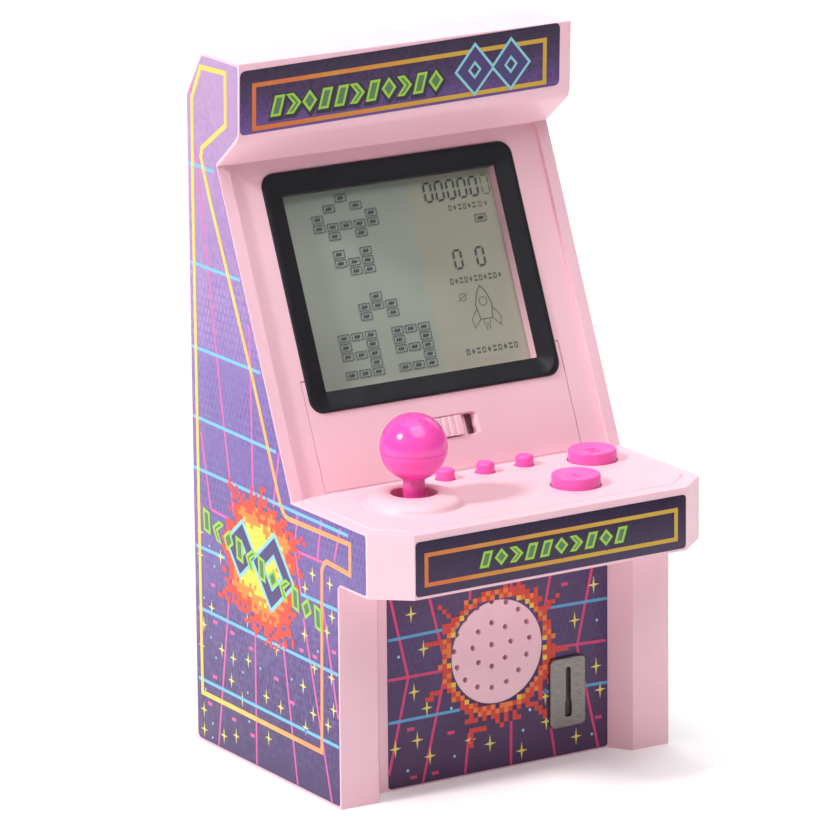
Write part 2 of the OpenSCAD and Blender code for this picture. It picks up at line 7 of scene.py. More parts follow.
import bpy
import bmesh
from mathutils import Matrix, Vector
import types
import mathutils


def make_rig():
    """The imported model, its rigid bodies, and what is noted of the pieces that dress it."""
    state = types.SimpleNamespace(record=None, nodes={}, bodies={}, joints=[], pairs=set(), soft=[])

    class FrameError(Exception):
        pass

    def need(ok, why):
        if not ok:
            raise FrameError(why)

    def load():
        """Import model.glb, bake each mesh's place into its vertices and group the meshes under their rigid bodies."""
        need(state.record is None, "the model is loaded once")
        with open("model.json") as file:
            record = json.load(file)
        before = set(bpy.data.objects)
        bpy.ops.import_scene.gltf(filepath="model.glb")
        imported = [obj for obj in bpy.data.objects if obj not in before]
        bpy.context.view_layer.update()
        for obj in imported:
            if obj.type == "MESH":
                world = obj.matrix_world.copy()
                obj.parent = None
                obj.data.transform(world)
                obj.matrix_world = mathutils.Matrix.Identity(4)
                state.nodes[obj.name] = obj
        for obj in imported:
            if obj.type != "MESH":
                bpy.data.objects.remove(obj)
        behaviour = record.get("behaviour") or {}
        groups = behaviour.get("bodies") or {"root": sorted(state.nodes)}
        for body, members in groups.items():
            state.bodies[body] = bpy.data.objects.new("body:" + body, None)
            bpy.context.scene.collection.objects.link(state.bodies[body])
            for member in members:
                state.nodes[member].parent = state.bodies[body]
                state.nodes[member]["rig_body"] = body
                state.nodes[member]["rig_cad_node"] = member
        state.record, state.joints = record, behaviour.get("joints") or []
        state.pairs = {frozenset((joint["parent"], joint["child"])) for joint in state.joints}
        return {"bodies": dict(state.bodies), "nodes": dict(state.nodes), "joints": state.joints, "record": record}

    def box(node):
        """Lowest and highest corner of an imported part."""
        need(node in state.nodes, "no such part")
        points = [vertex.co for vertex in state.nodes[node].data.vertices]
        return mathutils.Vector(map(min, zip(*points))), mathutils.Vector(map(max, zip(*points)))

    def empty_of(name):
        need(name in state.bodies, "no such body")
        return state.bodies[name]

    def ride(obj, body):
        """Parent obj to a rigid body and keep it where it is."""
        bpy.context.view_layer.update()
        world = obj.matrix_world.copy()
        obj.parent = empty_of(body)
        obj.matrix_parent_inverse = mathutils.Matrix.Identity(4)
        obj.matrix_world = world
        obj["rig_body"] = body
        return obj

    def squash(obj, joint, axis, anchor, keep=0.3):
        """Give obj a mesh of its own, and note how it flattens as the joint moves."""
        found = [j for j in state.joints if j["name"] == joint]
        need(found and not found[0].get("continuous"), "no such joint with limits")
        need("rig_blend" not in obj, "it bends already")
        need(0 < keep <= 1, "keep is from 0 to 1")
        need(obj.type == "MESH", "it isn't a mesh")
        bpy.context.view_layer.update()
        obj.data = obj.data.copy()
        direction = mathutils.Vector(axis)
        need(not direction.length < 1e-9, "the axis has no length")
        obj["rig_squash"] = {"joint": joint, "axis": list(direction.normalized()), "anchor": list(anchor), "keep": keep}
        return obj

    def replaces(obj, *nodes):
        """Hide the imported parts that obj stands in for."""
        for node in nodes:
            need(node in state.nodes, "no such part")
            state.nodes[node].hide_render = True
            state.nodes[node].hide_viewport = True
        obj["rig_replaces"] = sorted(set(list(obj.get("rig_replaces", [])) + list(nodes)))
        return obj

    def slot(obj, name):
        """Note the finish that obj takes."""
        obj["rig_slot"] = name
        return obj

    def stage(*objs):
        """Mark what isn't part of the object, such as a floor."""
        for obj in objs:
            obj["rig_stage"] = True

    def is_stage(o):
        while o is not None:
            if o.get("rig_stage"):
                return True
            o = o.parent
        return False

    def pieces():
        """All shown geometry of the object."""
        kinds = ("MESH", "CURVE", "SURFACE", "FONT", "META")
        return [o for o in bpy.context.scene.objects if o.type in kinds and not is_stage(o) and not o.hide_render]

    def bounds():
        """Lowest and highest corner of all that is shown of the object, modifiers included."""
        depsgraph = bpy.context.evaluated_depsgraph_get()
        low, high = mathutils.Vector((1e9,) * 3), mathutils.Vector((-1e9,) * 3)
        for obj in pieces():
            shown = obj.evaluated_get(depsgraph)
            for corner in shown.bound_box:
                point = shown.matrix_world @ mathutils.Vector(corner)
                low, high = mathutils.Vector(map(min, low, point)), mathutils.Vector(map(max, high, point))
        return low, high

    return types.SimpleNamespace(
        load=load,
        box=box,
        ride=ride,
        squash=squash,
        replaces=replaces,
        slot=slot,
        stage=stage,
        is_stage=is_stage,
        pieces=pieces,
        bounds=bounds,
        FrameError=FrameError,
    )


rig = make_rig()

for o in list(bpy.data.objects):
    bpy.data.objects.remove(o)
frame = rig.load()
CAD_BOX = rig.bounds()
rnd = random.Random(26)

# ------------------------------------------------------------------ the CAD's driving numbers
HW, YB, DECK, BOX, TOP = 40.7, 38.0, 61.5, 47.9, 150.0
TOP_Y, TOP_Z, FOOT_Y = 25.8, 127.0, -2.43
SLOPE = math.atan2(TOP_Z - DECK, TOP_Y - FOOT_Y)
SLOPE_L = math.hypot(TOP_Z - DECK, TOP_Y - FOOT_Y)
SL = Matrix.Translation((0, TOP_Y, TOP_Z)) @ Matrix.Rotation(SLOPE, 4, "X")
WALL, LEG_Y, PAN_Y = 2.2, -20.6, -15.8
JX, JY = -20.6, -17.7
SPK = (-0.56, 27.6)
SMALL = [(-5.1, -5.3), (4.75, -5.3), (14.6, -5.2)]
BTN1, BTN2 = (15.0, -24.1), (28.9, -9.4)


# ------------------------------------------------------------------ mesh tools
def arc(cx, cy, r, a0, a1, n):
    return [(cx + r * math.cos(math.radians(a0 + (a1 - a0) * i / n)), cy + r * math.sin(math.radians(a0 + (a1 - a0) * i / n))) for i in range(n + 1)]


def rrect(x0, x1, y0, y1, r, n=8):
    return arc(x1 - r, y1 - r, r, 0, 90, n) + arc(x0 + r, y1 - r, r, 90, 180, n) + arc(x0 + r, y0 + r, r, 180, 270, n) + arc(x1 - r, y0 + r, r, 270, 360, n)


def prism(pts, axis, a0, a1):
    """Closed prism: X takes (y, z) outlines, Y takes (x, z) and Z takes (x, y)."""
    at = {"X": lambda p, a: (a, p[0], p[1]), "Y": lambda p, a: (p[0], a, p[1]), "Z": lambda p, a: (p[0], p[1], a)}[axis]
    bm = bmesh.new()
    lo = [bm.verts.new(at(p, a0)) for p in pts]
    hi = [bm.verts.new(at(p, a1)) for p in pts]
    bm.faces.new(lo)
    bm.faces.new(hi)
    for i in range(len(pts)):
        j = (i + 1) % len(pts)
        bm.faces.new([lo[i], lo[j], hi[j], hi[i]])
    bmesh.ops.recalc_face_normals(bm, faces=bm.faces)
    return bm


def block(x0, x1, y0, y1, z0, z1):
    return prism([(x0, y0), (x1, y0), (x1, y1), (x0, y1)], "Z", z0, z1)


def moved(bm, m):
    bmesh.ops.transform(bm, matrix=m, verts=bm.verts)
    return bm


def lathe(prof, c=(0, 0, 0), axis="Z", n=64, closed=False):
    """Turned solid: prof holds (radius, height) pairs, from pole to pole or closed on itself."""
    at = {"Z": lambda x, y, h: (c[0] + x, c[1] + y, c[2] + h), "Y": lambda x, y, h: (c[0] + x, c[1] + h, c[2] + y), "X": lambda x, y, h: (c[0] + h, c[1] + x, c[2] + y)}[axis]
    bm = bmesh.new()
    rings = []
    for r, h in prof:
        if r < 1e-6:
            rings.append([bm.verts.new(at(0, 0, h))] * n)
        else:
            rings.append([bm.verts.new(at(r * math.cos(2 * math.pi * k / n), r * math.sin(2 * math.pi * k / n), h)) for k in range(n)])
    pairs = list(zip(rings, rings[1:])) + ([(rings[-1], rings[0])] if closed else [])
    for a, b in pairs:
        for k in range(n):
            q = []
            for v in (a[k], a[(k + 1) % n], b[(k + 1) % n], b[k]):
                if v not in q:
                    q.append(v)
            if len(q) > 2:
                bm.faces.new(q)
    bmesh.ops.recalc_face_normals(bm, faces=bm.faces)
    return bm


def joined(*bms):
    out = bmesh.new()
    for b in bms:
        me = bpy.data.meshes.new("t")
        b.to_mesh(me)
        b.free()
        out.from_mesh(me)
        bpy.data.meshes.remove(me)
    return out


def temp(bm, name="t"):
    me = bpy.data.meshes.new(name)
    bm.to_mesh(me)
    bm.free()
    ob = bpy.data.objects.new(name, me)
    bpy.context.scene.collection.objects.link(ob)
    return ob


def evaluated(ob, *others):
    bpy.context.view_layer.update()
    me = bpy.data.meshes.new_from_object(ob.evaluated_get(bpy.context.evaluated_depsgraph_get()))
    bm = bmesh.new()
    bm.from_mesh(me)
    bpy.data.meshes.remove(me)
    for o in (ob, *others):
        old = o.data
        bpy.data.objects.remove(o)
        bpy.data.meshes.remove(old)
    return bm


def csg(bm, *ops):
    """Booleans in order: ('+', solid) joins, ('-', solid) cuts, ('&', solid) keeps what is common."""
    ob = temp(bm)
    others = []
    for kind, other in ops:
        t = temp(other)
        others.append(t)
        m = ob.modifiers.new("cut", "BOOLEAN")
        m.operation = {"+": "UNION", "-": "DIFFERENCE", "&": "INTERSECT"}[kind]
        m.object = t
        m.solver = "MANIFOLD"
    return evaluated(ob, *others)


def tidy(bm, angle=0.6):
    bmesh.ops.remove_doubles(bm, verts=bm.verts, dist=2e-4)
    bmesh.ops.dissolve_limit(bm, angle_limit=math.radians(angle), verts=bm.verts, edges=bm.edges, delimit=set())
    return bm


def rounded(bm, rule, segs=3, limit=25):
    """Bevels each edge sharper than limit degrees by rule(middle, a, b, convex) millimetres."""
    tidy(bm)
    layer = bm.edges.layers.float.new("bevel_weight_edge")
    for e in bm.edges:
        if len(e.link_faces) == 2 and math.degrees(e.calc_face_angle(0)) > limit:
            a, b = e.verts[0].co, e.verts[1].co
            e[layer] = min(1.0, rule((a + b) / 2, a, b, e.is_convex) / 2.0)
    ob = temp(bm)
    m = ob.modifiers.new("round", "BEVEL")
    m.limit_method = "WEIGHT"
    m.width = 2.0
    m.segments = segs
    m.profile = 0.5
    m.use_clamp_overlap = True
    return evaluated(ob)


def even(w):
    return lambda m, a, b, c: w


def finish_mesh(bm, name):
    bmesh.ops.remove_doubles(bm, verts=bm.verts, dist=1e-4)
    bmesh.ops.transform(bm, matrix=Matrix.Scale(0.001, 4), verts=bm.verts)
    me = bpy.data.meshes.new(name)
    bm.to_mesh(me)
    bm.free()
    return me


def new_piece(name, bm, mats, body="cabinet", slot=None, replaces=(), sharp=32, weighted=True):
    """Makes the piece in metres, smooth-shaded with its sharp edges kept, and lets it ride on its body."""
    me = finish_mesh(bm, name)
    for m in mats if isinstance(mats, (list, tuple)) else [mats]:
        me.materials.append(m)
    me.shade_smooth()
    if sharp:
        me.set_sharp_from_angle(angle=math.radians(sharp))
    ob = bpy.data.objects.new(name, me)
    bpy.context.scene.collection.objects.link(ob)
    if weighted:
        w = ob.modifiers.new("normals", "WEIGHTED_NORMAL")
        w.keep_sharp = True
    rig.ride(ob, body)
    if slot:
        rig.slot(ob, slot)
    if replaces:
        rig.replaces(ob, *([replaces] if isinstance(replaces, str) else replaces))
    return ob


# ------------------------------------------------------------------ materials
def lin(c):
    out = []
    for v in c:
        v /= 255
        out.append(v / 12.92 if v <= 0.04045 else ((v + 0.055) / 1.055) ** 2.4)
    return (*out, 1.0)


def shade(c, k):
    return tuple(min(1.0, x * k) for x in c[:3]) + (1.0,)


class Tree:
    def __init__(self, name):
        self.m = bpy.data.materials.new(name)
        self.m.use_nodes = True
        self.nt = self.m.node_tree
        self.nt.nodes.clear()

    def add(self, kind, props=None, **ins):
        n = self.nt.nodes.new(kind)
        for k, v in (props or {}).items():
            setattr(n, k, v)
        for k, v in ins.items():
            s = n.inputs[int(k[1:])] if k[0] == "i" and k[1:].isdigit() else n.inputs[k.replace("_", " ")]
            if isinstance(v, bpy.types.NodeSocket):
                self.nt.links.new(v, s)
            else:
                s.default_value = v
        return n

    def math(self, op, a, b=0.0, c=0.0, clamp=False):
        return self.add("ShaderNodeMath", {"operation": op, "use_clamp": clamp}, i0=a, i1=b, i2=c).outputs[0]

    def coords(self):
        return self.add("ShaderNodeTexCoord").outputs["Object"]

    def noise(self, co, scale, detail=2.0, rough=0.5):
        return self.add("ShaderNodeTexNoise", Vector=co, Scale=scale, Detail=detail, Roughness=rough).outputs["Fac"]

    def ramp(self, fac, stops, mode="LINEAR"):
        n = self.add("ShaderNodeValToRGB", Fac=fac)
        n.color_ramp.interpolation = mode
        while len(n.color_ramp.elements) < len(stops):
            n.color_ramp.elements.new(0.5)
        for e, (p, c) in zip(n.color_ramp.elements, stops):
            e.position = p
            e.color = c
        return n.outputs["Color"]

    def spread(self, fac, lo, hi):
        return self.add("ShaderNodeMapRange", Value=fac, i1=0.25, i2=0.75, i3=lo, i4=hi).outputs[0]

    def mix(self, fac, a, b, mode="MIX"):
        n = self.add("ShaderNodeMix", {"data_type": "RGBA", "blend_type": mode})
        for s, v in ((n.inputs[0], fac), (n.inputs[6], a), (n.inputs[7], b)):
            if isinstance(v, bpy.types.NodeSocket):
                self.nt.links.new(v, s)
            else:
                s.default_value = v
        return n.outputs[2]

    def bump(self, height, strength, distance):
        return self.add("ShaderNodeBump", Height=height, Strength=strength, Distance=distance).outputs[0]

    def done(self, colour, rough, normal=None, **ins):
        args = {"Base_Color": colour, "Roughness": rough}
        if normal is not None:
            args["Normal"] = normal
        p = self.add("ShaderNodeBsdfPrincipled", **args, **ins)
        self.add("ShaderNodeOutputMaterial", Surface=p.outputs[0])
        return self.m


def plain(name, c, rough=0.4, var=0.04, patch=120, grain=1600, bump=0.25, depth=2e-5, rough_var=0.06, **ins):
    """Moulded or coated surface: slow colour drift, uneven gloss and a fine grain."""
    t = Tree(name)
    co = t.coords()
    drift = t.noise(co, patch, 3.0)
    c = lin(c)
    col = t.ramp(drift, [(0.3, shade(c, 1 - var)), (0.7, shade(c, 1 + var))])
    gloss = t.spread(t.noise(co, patch * 2.3, 2.0), rough - rough_var, rough + rough_var)
    return t.done(col, gloss, t.bump(t.noise(co, grain, 2.0), bump, depth), **ins)


def metal(name, c, rough=0.3, stretch=(1, 1, 1), var=0.12, scale=900, bump=0.3, depth=1e-5):
    t = Tree(name)
    co = t.add("ShaderNodeVectorMath", {"operation": "MULTIPLY"}, i0=t.coords(), i1=stretch).outputs[0]
    n = t.noise(co, scale, 4.0, 0.6)
    c = lin(c)
    col = t.ramp(n, [(0.3, shade(c, 1 - var)), (0.7, shade(c, 1 + var))])
    return t.done(col, t.spread(n, rough - 0.08, rough + 0.1), t.bump(n, bump, depth), Metallic=1.0)


PINK = plain("pink_abs", (247, 201, 213), 0.42, var=0.012, grain=2600, bump=0.22, depth=1.6e-5, Subsurface_Weight=0.12, Subsurface_Radius=(0.004, 0.0018, 0.002), Subsurface_Scale=0.35)
HOT = plain("hot_pink_abs", (255, 84, 182), 0.2, var=0.02, grain=1800, bump=0.08, depth=1e-5, rough_var=0.04, Subsurface_Weight=0.15, Subsurface_Radius=(0.004, 0.0008, 0.002), Subsurface_Scale=0.4)
HOT_BTN = plain("hot_pink_buttons", (255, 98, 188), 0.34, var=0.02, grain=2200, bump=0.2, depth=1.4e-5, Subsurface_Weight=0.15, Subsurface_Radius=(0.004, 0.0008, 0.002), Subsurface_Scale=0.4)
BLACK_PRINT = plain("black_print", (43, 42, 47), 0.34, var=0.1, grain=3000, bump=0.06, depth=6e-6, rough_var=0.03)
WHITE_ABS = plain("white_abs", (244, 240, 243), 0.42)
RUBBER = plain("contact_rubber", (222, 222, 216), 0.62, var=0.05, grain=1200)
BLACK_ABS = plain("black_abs", (34, 34, 37), 0.45, var=0.15)
STEEL = metal("plated_steel", (196, 197, 202), 0.28)
SPRING = metal("spring_steel", (206, 206, 210), 0.22, scale=1500)
WIRE = plain("wire_jacket", (30, 30, 32), 0.4, var=0.1, grain=3000)


def board_material():
    t = Tree("circuit_board")
    co = t.coords()
    brick = t.add("ShaderNodeTexBrick", {"offset": 0.5, "squash": 1.0}, Vector=co, Scale=420.0, i1=lin((28, 106, 62)), i2=lin((24, 96, 56)), i3=lin((34, 122, 74)))
    lines = brick.outputs["Color"]
    pads = t.add("ShaderNodeTexVoronoi", {"feature": "F1"}, Vector=co, Scale=260.0).outputs["Distance"]
    dot = t.math("LESS_THAN", pads, 0.16)
    col = t.mix(dot, lines, lin((202, 178, 110)))
    return t.done(col, t.spread(t.noise(co, 500), 0.3, 0.42), t.bump(brick.outputs["Fac"], 0.3, 3e-5))


BOARD = board_material()


def print_material(name, along, stops, cell, rough=0.42, mute=1.0, rows=(0.0, 150.0), spread=0.17, dots=(), pale=(), pitch=1.45):
    """Printed vinyl: flat bands of colour that break up into square dots where they meet, under a satin film."""
    t = Tree(name)
    co = t.coords()
    snap = t.add("ShaderNodeVectorMath", {"operation": "SNAP"}, i0=co, i1=(cell * 0.001,) * 3).outputs[0]
    sep = t.add("ShaderNodeSeparateXYZ", Vector=snap)
    white = t.add("ShaderNodeTexWhiteNoise", {"noise_dimensions": "3D"}, Vector=snap).outputs["Value"]
    h = t.math("MULTIPLY", sep.outputs[2], 1000.0 / (rows[1] - rows[0]))
    h = t.math("SUBTRACT", h, rows[0] / (rows[1] - rows[0]))
    d = t.math("MULTIPLY", t.math("SUBTRACT", white, 0.5), spread)
    v = t.math("ADD", h, d)
    col = t.ramp(v, [(p, shade(lin(c), mute)) for p, c in stops], "CONSTANT")
    soft = t.ramp(h, [(p, shade(lin(c), mute)) for p, c in stops], "LINEAR")
    col = t.mix(0.35, col, soft)
    # staggered rows of small dots where the bands fade into each other
    raw = t.add("ShaderNodeSeparateXYZ", Vector=co)
    across = t.math("MULTIPLY", t.math("ADD", raw.outputs[0], raw.outputs[1]), 1000 / pitch)
    high = t.math("MULTIPLY", raw.outputs[2], 1000 / pitch * 0.8)
    row = t.math("FLOOR", high)
    fu = t.math("FRACT", t.math("ADD", across, t.math("MULTIPLY", row, 0.5)))
    fv = t.math("FRACT", high)
    spot = t.math("MULTIPLY", t.math("LESS_THAN", t.math("ABSOLUTE", t.math("SUBTRACT", fu, 0.5)), 0.24), t.math("LESS_THAN", t.math("ABSOLUTE", t.math("SUBTRACT", fv, 0.5)), 0.33))
    level = t.math("MULTIPLY", raw.outputs[2], 1000.0 / (rows[1] - rows[0]))
    level = t.math("SUBTRACT", level, rows[0] / (rows[1] - rows[0]))
    patchy = t.spread(t.noise(co, 70, 2.0), 0.25, 1.0)
    for zones, tone in ((dots, (58, 42, 92)), (pale, (206, 170, 214))):
        if zones:
            g = t.ramp(level, [(p, (v, v, v, 1.0)) for p, v in zones])
            amount = t.math("MULTIPLY", t.math("MULTIPLY", spot, g), patchy)
            col = t.mix(amount, col, lin(tone))
    speck = t.noise(co, 2600, 2.0)
    col = t.mix(t.spread(speck, 0.0, 0.10), col, lin((255, 255, 255)), "SOFT_LIGHT")
    wave = t.noise(co, 55, 2.0)
    nb = t.bump(wave, 0.25, 1.2e-4)
    fine = t.add("ShaderNodeBump", Height=t.noise(co, 3500, 1.0), Strength=0.15, Distance=8e-6, Normal=nb).outputs[0]
    return t.done(col, t.spread(t.noise(co, 300), rough - 0.05, rough + 0.07), fine, Specular_IOR_Level=0.35)


def ink(name, c, var=0.03, c2=None, axis=2, lo=0.0, hi=1.0, rough=0.42):
    """Printing ink; with c2 its colour runs from c to c2 along an axis (in millimetres)."""
    t = Tree(name)
    co = t.coords()
    fine = t.noise(co, 2600, 2.0)
    if c2 is None:
        a = lin(c)
        col = t.ramp(fine, [(0.3, shade(a, 1 - var)), (0.7, shade(a, 1 + var))])
    else:
        sep = t.add("ShaderNodeSeparateXYZ", Vector=co)
        pos = t.add("ShaderNodeMapRange", Value=sep.outputs[axis], i1=lo * 0.001, i2=hi * 0.001, i3=0.0, i4=1.0).outputs[0]
        jit = t.math("ADD", pos, t.math("MULTIPLY", t.math("SUBTRACT", t.noise(co, 130, 1.0), 0.5), 0.5))
        col = t.ramp(jit, [(0.2, lin(c)), (0.8, lin(c2))])
    return t.done(col, t.spread(fine, rough - 0.05, rough + 0.05), t.bump(fine, 0.12, 8e-6))


# ------------------------------------------------------------------ casing
def slope_point(s, w):
    """(y, z) of the point s down the screen slope and w outward from it."""
    return (TOP_Y - s * math.cos(SLOPE) - w * math.sin(SLOPE), TOP_Z - s * math.sin(SLOPE) + w * math.cos(SLOPE))


def slope_hit(w, z):
    """y of the level w where it meets the height z."""
    y0, z0 = slope_point(0, w)
    return y0 - (z0 - z) / math.tan(SLOPE)


SIDE = [(YB, 0), (YB, 140.4), (31.6, TOP), (16.2, TOP)] + arc(20.64, 136.1, 4, 181.8, 232, 8) + [(TOP_Y, TOP_Z), (FOOT_Y, DECK), (-31.8, DECK), (-31.8, BOX), (LEG_Y, BOX), (LEG_Y, 0)]


def shell_rule(m, a, b, convex):
    ax, ay, az = abs(m.x), m.y, m.z
    if ax > HW - 0.01:
        return 0.45
    if abs(ax - 38.0) < 0.05 and az > DECK + 0.5 and abs(a.x - b.x) < 0.01:
        return 0.5 if convex else 0.42
    if az > DECK - 0.05 and az < DECK + 0.05:
        if ay < -24:
            return 1.15
        return 0.4
    if abs(a.z - b.z) > 10 and ay < -31:
        return 1.1
    if az < 0.05:
        return 0.25
    if abs(az - BOX) < 0.05:
        return 0.45 if ay < -24 else 0.0
    if abs(a.z - b.z) > 10 and az < BOX:
        return 0.7 if convex and ay < -16 else 0.0
    if abs(ay - 16.2) < 0.05 and az > 149:
        return 0.95
    if ay > 31 and az > 139:
        return 0.7
    if abs(ay - TOP_Y) < 1.5 and abs(az - TOP_Z) < 1.5:
        return 0.45
    return 0.35


def make_shell():
    base = csg(
        prism(SIDE, "X", -HW, HW),
        ("+", prism([(-HW, -24), (-HW, -31.8), (-33.3, -38), (33.3, -38), (HW, -31.8), (HW, -24)], "Z", BOX, DECK)),
        ("-", prism([(-31.6, -22), (-31.6, LEG_Y), (-28.4, PAN_Y), (28.4, PAN_Y), (31.6, LEG_Y), (31.6, -22)], "Z", -1, BOX)),
        ("-", prism([slope_point(0, -1.0), (slope_hit(-1.0, DECK), DECK), (FOOT_Y - 3, DECK), slope_point(SLOPE_L, 3), slope_point(0, 3)], "X", -38, 38)),
    )
    base = rounded(base, shell_rule, 4)
    # plateau of the deck, its edge rolled off
    rim = [(-38.2, -3.03), (-38.2, -29.6), (-32.4, -34.6), (32.4, -34.6), (38.2, -29.6), (38.2, -3.03)]
    plateau = bmesh.new()
    levels = [(-0.3, 0.0), (0.0, 0.0), (0.1, 0.06), (0.19, 0.2), (0.25, 0.45)]
    rings = []
    for h, inset in levels:
        k = (38.2 - inset) / 38.2
        rings.append([plateau.verts.new((x * k, -3.03 + (y + 3.03) * (31.57 - inset) / 31.57, DECK + h)) for x, y in rim])
    plateau.faces.new(rings[0])
    plateau.faces.new(rings[-1])
    for a, b in zip(rings, rings[1:]):
        for i in range(6):
            j = (i + 1) % 6
            plateau.faces.new([a[i], a[j], b[j], b[i]])
    bmesh.ops.recalc_face_normals(plateau, faces=plateau.faces)
    collar = [(0, -0.3), (10.9, -0.3), (10.9, 0.25), (10.62, 0.29), (10.42, 0.4), (10.28, 0.62)]
    collar += [(5.7 + 4.55 * math.cos(math.radians(a)), 0.35 + 2.35 * math.sin(math.radians(a))) for a in range(14, 91, 7)]
    collar += [(0, 2.7)]
    collar = lathe(collar, (JX, JY, DECK), n=96)
    hollow = prism([(PAN_Y + WALL, WALL), (YB + 1, WALL), (YB + 1, 137.5), (35.8, 137.5), (35.8, 139.7), (30.4, TOP - WALL), (18.7, TOP - WALL), (18.7, 135.3), (29.1, 127.1), (-0.1, DECK - WALL), (PAN_Y + WALL, DECK - WALL)], "X", -HW + WALL, HW - WALL)
    nose_room = prism([(-38.5, -10), (-38.5, -30.8), (-32.5, -35.8), (32.5, -35.8), (38.5, -30.8), (38.5, -10)], "Z", BOX + WALL, DECK - WALL)
    ops = [("+", plateau), ("+", collar), ("-", hollow), ("-", nose_room)]
    for s in (-1, 1):
        ops.append(("-", block(s * 36.25 - 2.25, s * 36.25 + 2.25, LEG_Y + WALL, LEG_Y + WALL + 5, WALL, WALL + BOX)))
    # opening for the screen panel, the window's seat
    ops.append(("-", moved(block(-29.6, 29.6, -47, -4.2, -6, 3), SL)))
    panel_cut = [slope_point(46.9, 3), slope_point(46.9, -3.3), (slope_hit(-3.3, DECK + 0.25), DECK + 0.25), (slope_hit(3, DECK + 0.25), DECK + 0.25)]
    ops.append(("-", prism(panel_cut, "X", -31.9, 31.9)))
    ops.append(("-", moved(prism(rrect(-30.9, 30.9, -54.2, -2.9, 3.1), "Z", -1.62, 1.4), SL)))
    # bosses
    for x in (-35.3, 35.3):
        for z in (9, 131.2):
            ops.append(("+", lathe([(0, 0), (3.3, 0), (3.3, 6.85), (0, 6.85)], (x, 29, z), "Y", 32)))
            ops.append(("-", lathe([(0, 0), (1.02, 0), (1.02, 8), (0, 8)], (x, 28.8, z), "Y", 24)))
    for x, y in ((-34, -30.5), (33, -28), (-34, -5), (21.8, -3.9)):
        ops.append(("+", lathe([(0, 0), (2.1, 0), (2.1, 7.5), (0, 7.5)], (x, y, 51.9), "Z", 32)))
        ops.append(("-", lathe([(0, 0), (0.82, 0), (0.82, 6.5), (0, 6.5)], (x, y, 51.9), "Z", 24)))
    ops.append(("+", lathe([(14.3, 0), (15.8, 0), (15.8, 3.1), (14.3, 3.1)], (SPK[0], PAN_Y + WALL - 0.1, SPK[1]), "Y", 64, True)))

    # holes, each with a small rolled edge
    def hole(x, y, z, r, e, deep, n=48):
        return lathe([(0, -deep), (r, -deep), (r, -e)] + [(r + e - e * math.cos(math.radians(a)), -e + e * math.sin(math.radians(a))) for a in (30, 60)] + [(r + e, 0), (r + e + 0.2, 0.6), (0, 0.6)], (x, y, z), n=n)

    ops.append(("-", hole(JX, JY, DECK + 2.7, 4.8, 0.45, 7.0, 96)))
    for x, y in SMALL:
        ops.append(("-", hole(x, y, DECK + 0.25, 2.15, 0.12, 4.0)))
    for x, y in (BTN1, BTN2):
        ops.append(("-", hole(x, y, DECK + 0.25, 5.35, 0.15, 4.0, 80)))
    for s in (-1, 1):
        ops.append(("-", lathe([(0, 0), (0.72, 0), (0.72, 3), (0, 3)], (JX, JY + s * 9.2, 58.6), n=20)))
    cuts = []
    for n, r in ((1, 0), (8, 4.7), (16, 9.35)):
        for i in range(n):
            a = 2 * math.pi * i / n
            cuts.append(lathe([(0, -0.5), (0.78, -0.5), (0.66, 0.0), (0.58, 0.06), (0.55, 0.14), (0.55, 3.4), (0, 3.4)], (SPK[0] + r * math.cos(a), PAN_Y, SPK[1] + r * math.sin(a)), "Y", 24))
    ops.append(("-", joined(*cuts)))
    return csg(base, *ops)


new_piece("cabinet_casing", make_shell(), PINK, slot="body_plastic", replaces="cabinet_shell", sharp=34)


def make_panel():
    low = prism([slope_point(47.1, -1.0), slope_point(47.1, -3.2), (slope_hit(-3.2, DECK + 0.3), DECK + 0.3), (slope_hit(-1.0, DECK + 0.3), DECK + 0.3)], "X", -31.8, 31.8)
    low = rounded(low, lambda m, a, b, c: 0.14, 2)
    back = prism([slope_point(3.0, -3.4), slope_point(3.0, -4.0), slope_point(66.5, -4.0), slope_point(66.5, -3.4)], "X", -33.2, 33.2)
    tray = moved(block(-29.5, 29.5, -64.5, -4.3, -4, -1.62), SL)
    window = moved(block(-26.15, 26.15, -49.8, -7.6, -5, 1), SL)
    seat = moved(prism(rrect(-30.9, 30.9, -54.2, -2.9, 3.1), "Z", -1.62, 1.4), SL)
    # slot of the switch: straight at the knob, scooped out at its right end
    slot = rounded(moved(block(-3.0, 7.3, -63.5, -59.0, -5, 1), Matrix()), lambda m, a, b, c: 0.55 if abs(a.z - b.z) > 3 else 0.0, 3)
    slot = moved(slot, SL)
    scoop = prism([(7.0, -2.2), (7.0, 0.5), (9.2, 0.5), (8.6, -0.93), (8.1, -1.06), (7.7, -1.35), (7.45, -1.75), (7.3, -2.2)], "Y", -63.4, -59.1)
    scoop = moved(scoop, SL)
    room = moved(block(-6.2, 10.3, -64.6, -58.0, -5, -2.4), SL)
    lip = moved(prism(rrect(-3.25, 7.5, -63.75, -58.75, 0.75), "Z", -1.1, 0.5), SL)
    lip2 = moved(prism(rrect(-3.12, 7.4, -63.62, -58.88, 0.65), "Z", -1.25, 0.5), SL)
    cut_low = prism([(-60, -60), (60, -60), (60, 60), (-60, 60)], "Z", DECK + 0.3, 200)
    return csg(low, ("+", back), ("+", tray), ("&", cut_low), ("-", window), ("-", seat), ("-", slot), ("-", scoop), ("-", lip), ("-", lip2), ("-", room))


new_piece("display_panel", make_panel(), PINK, slot="body_plastic", replaces="screen_panel", sharp=30)

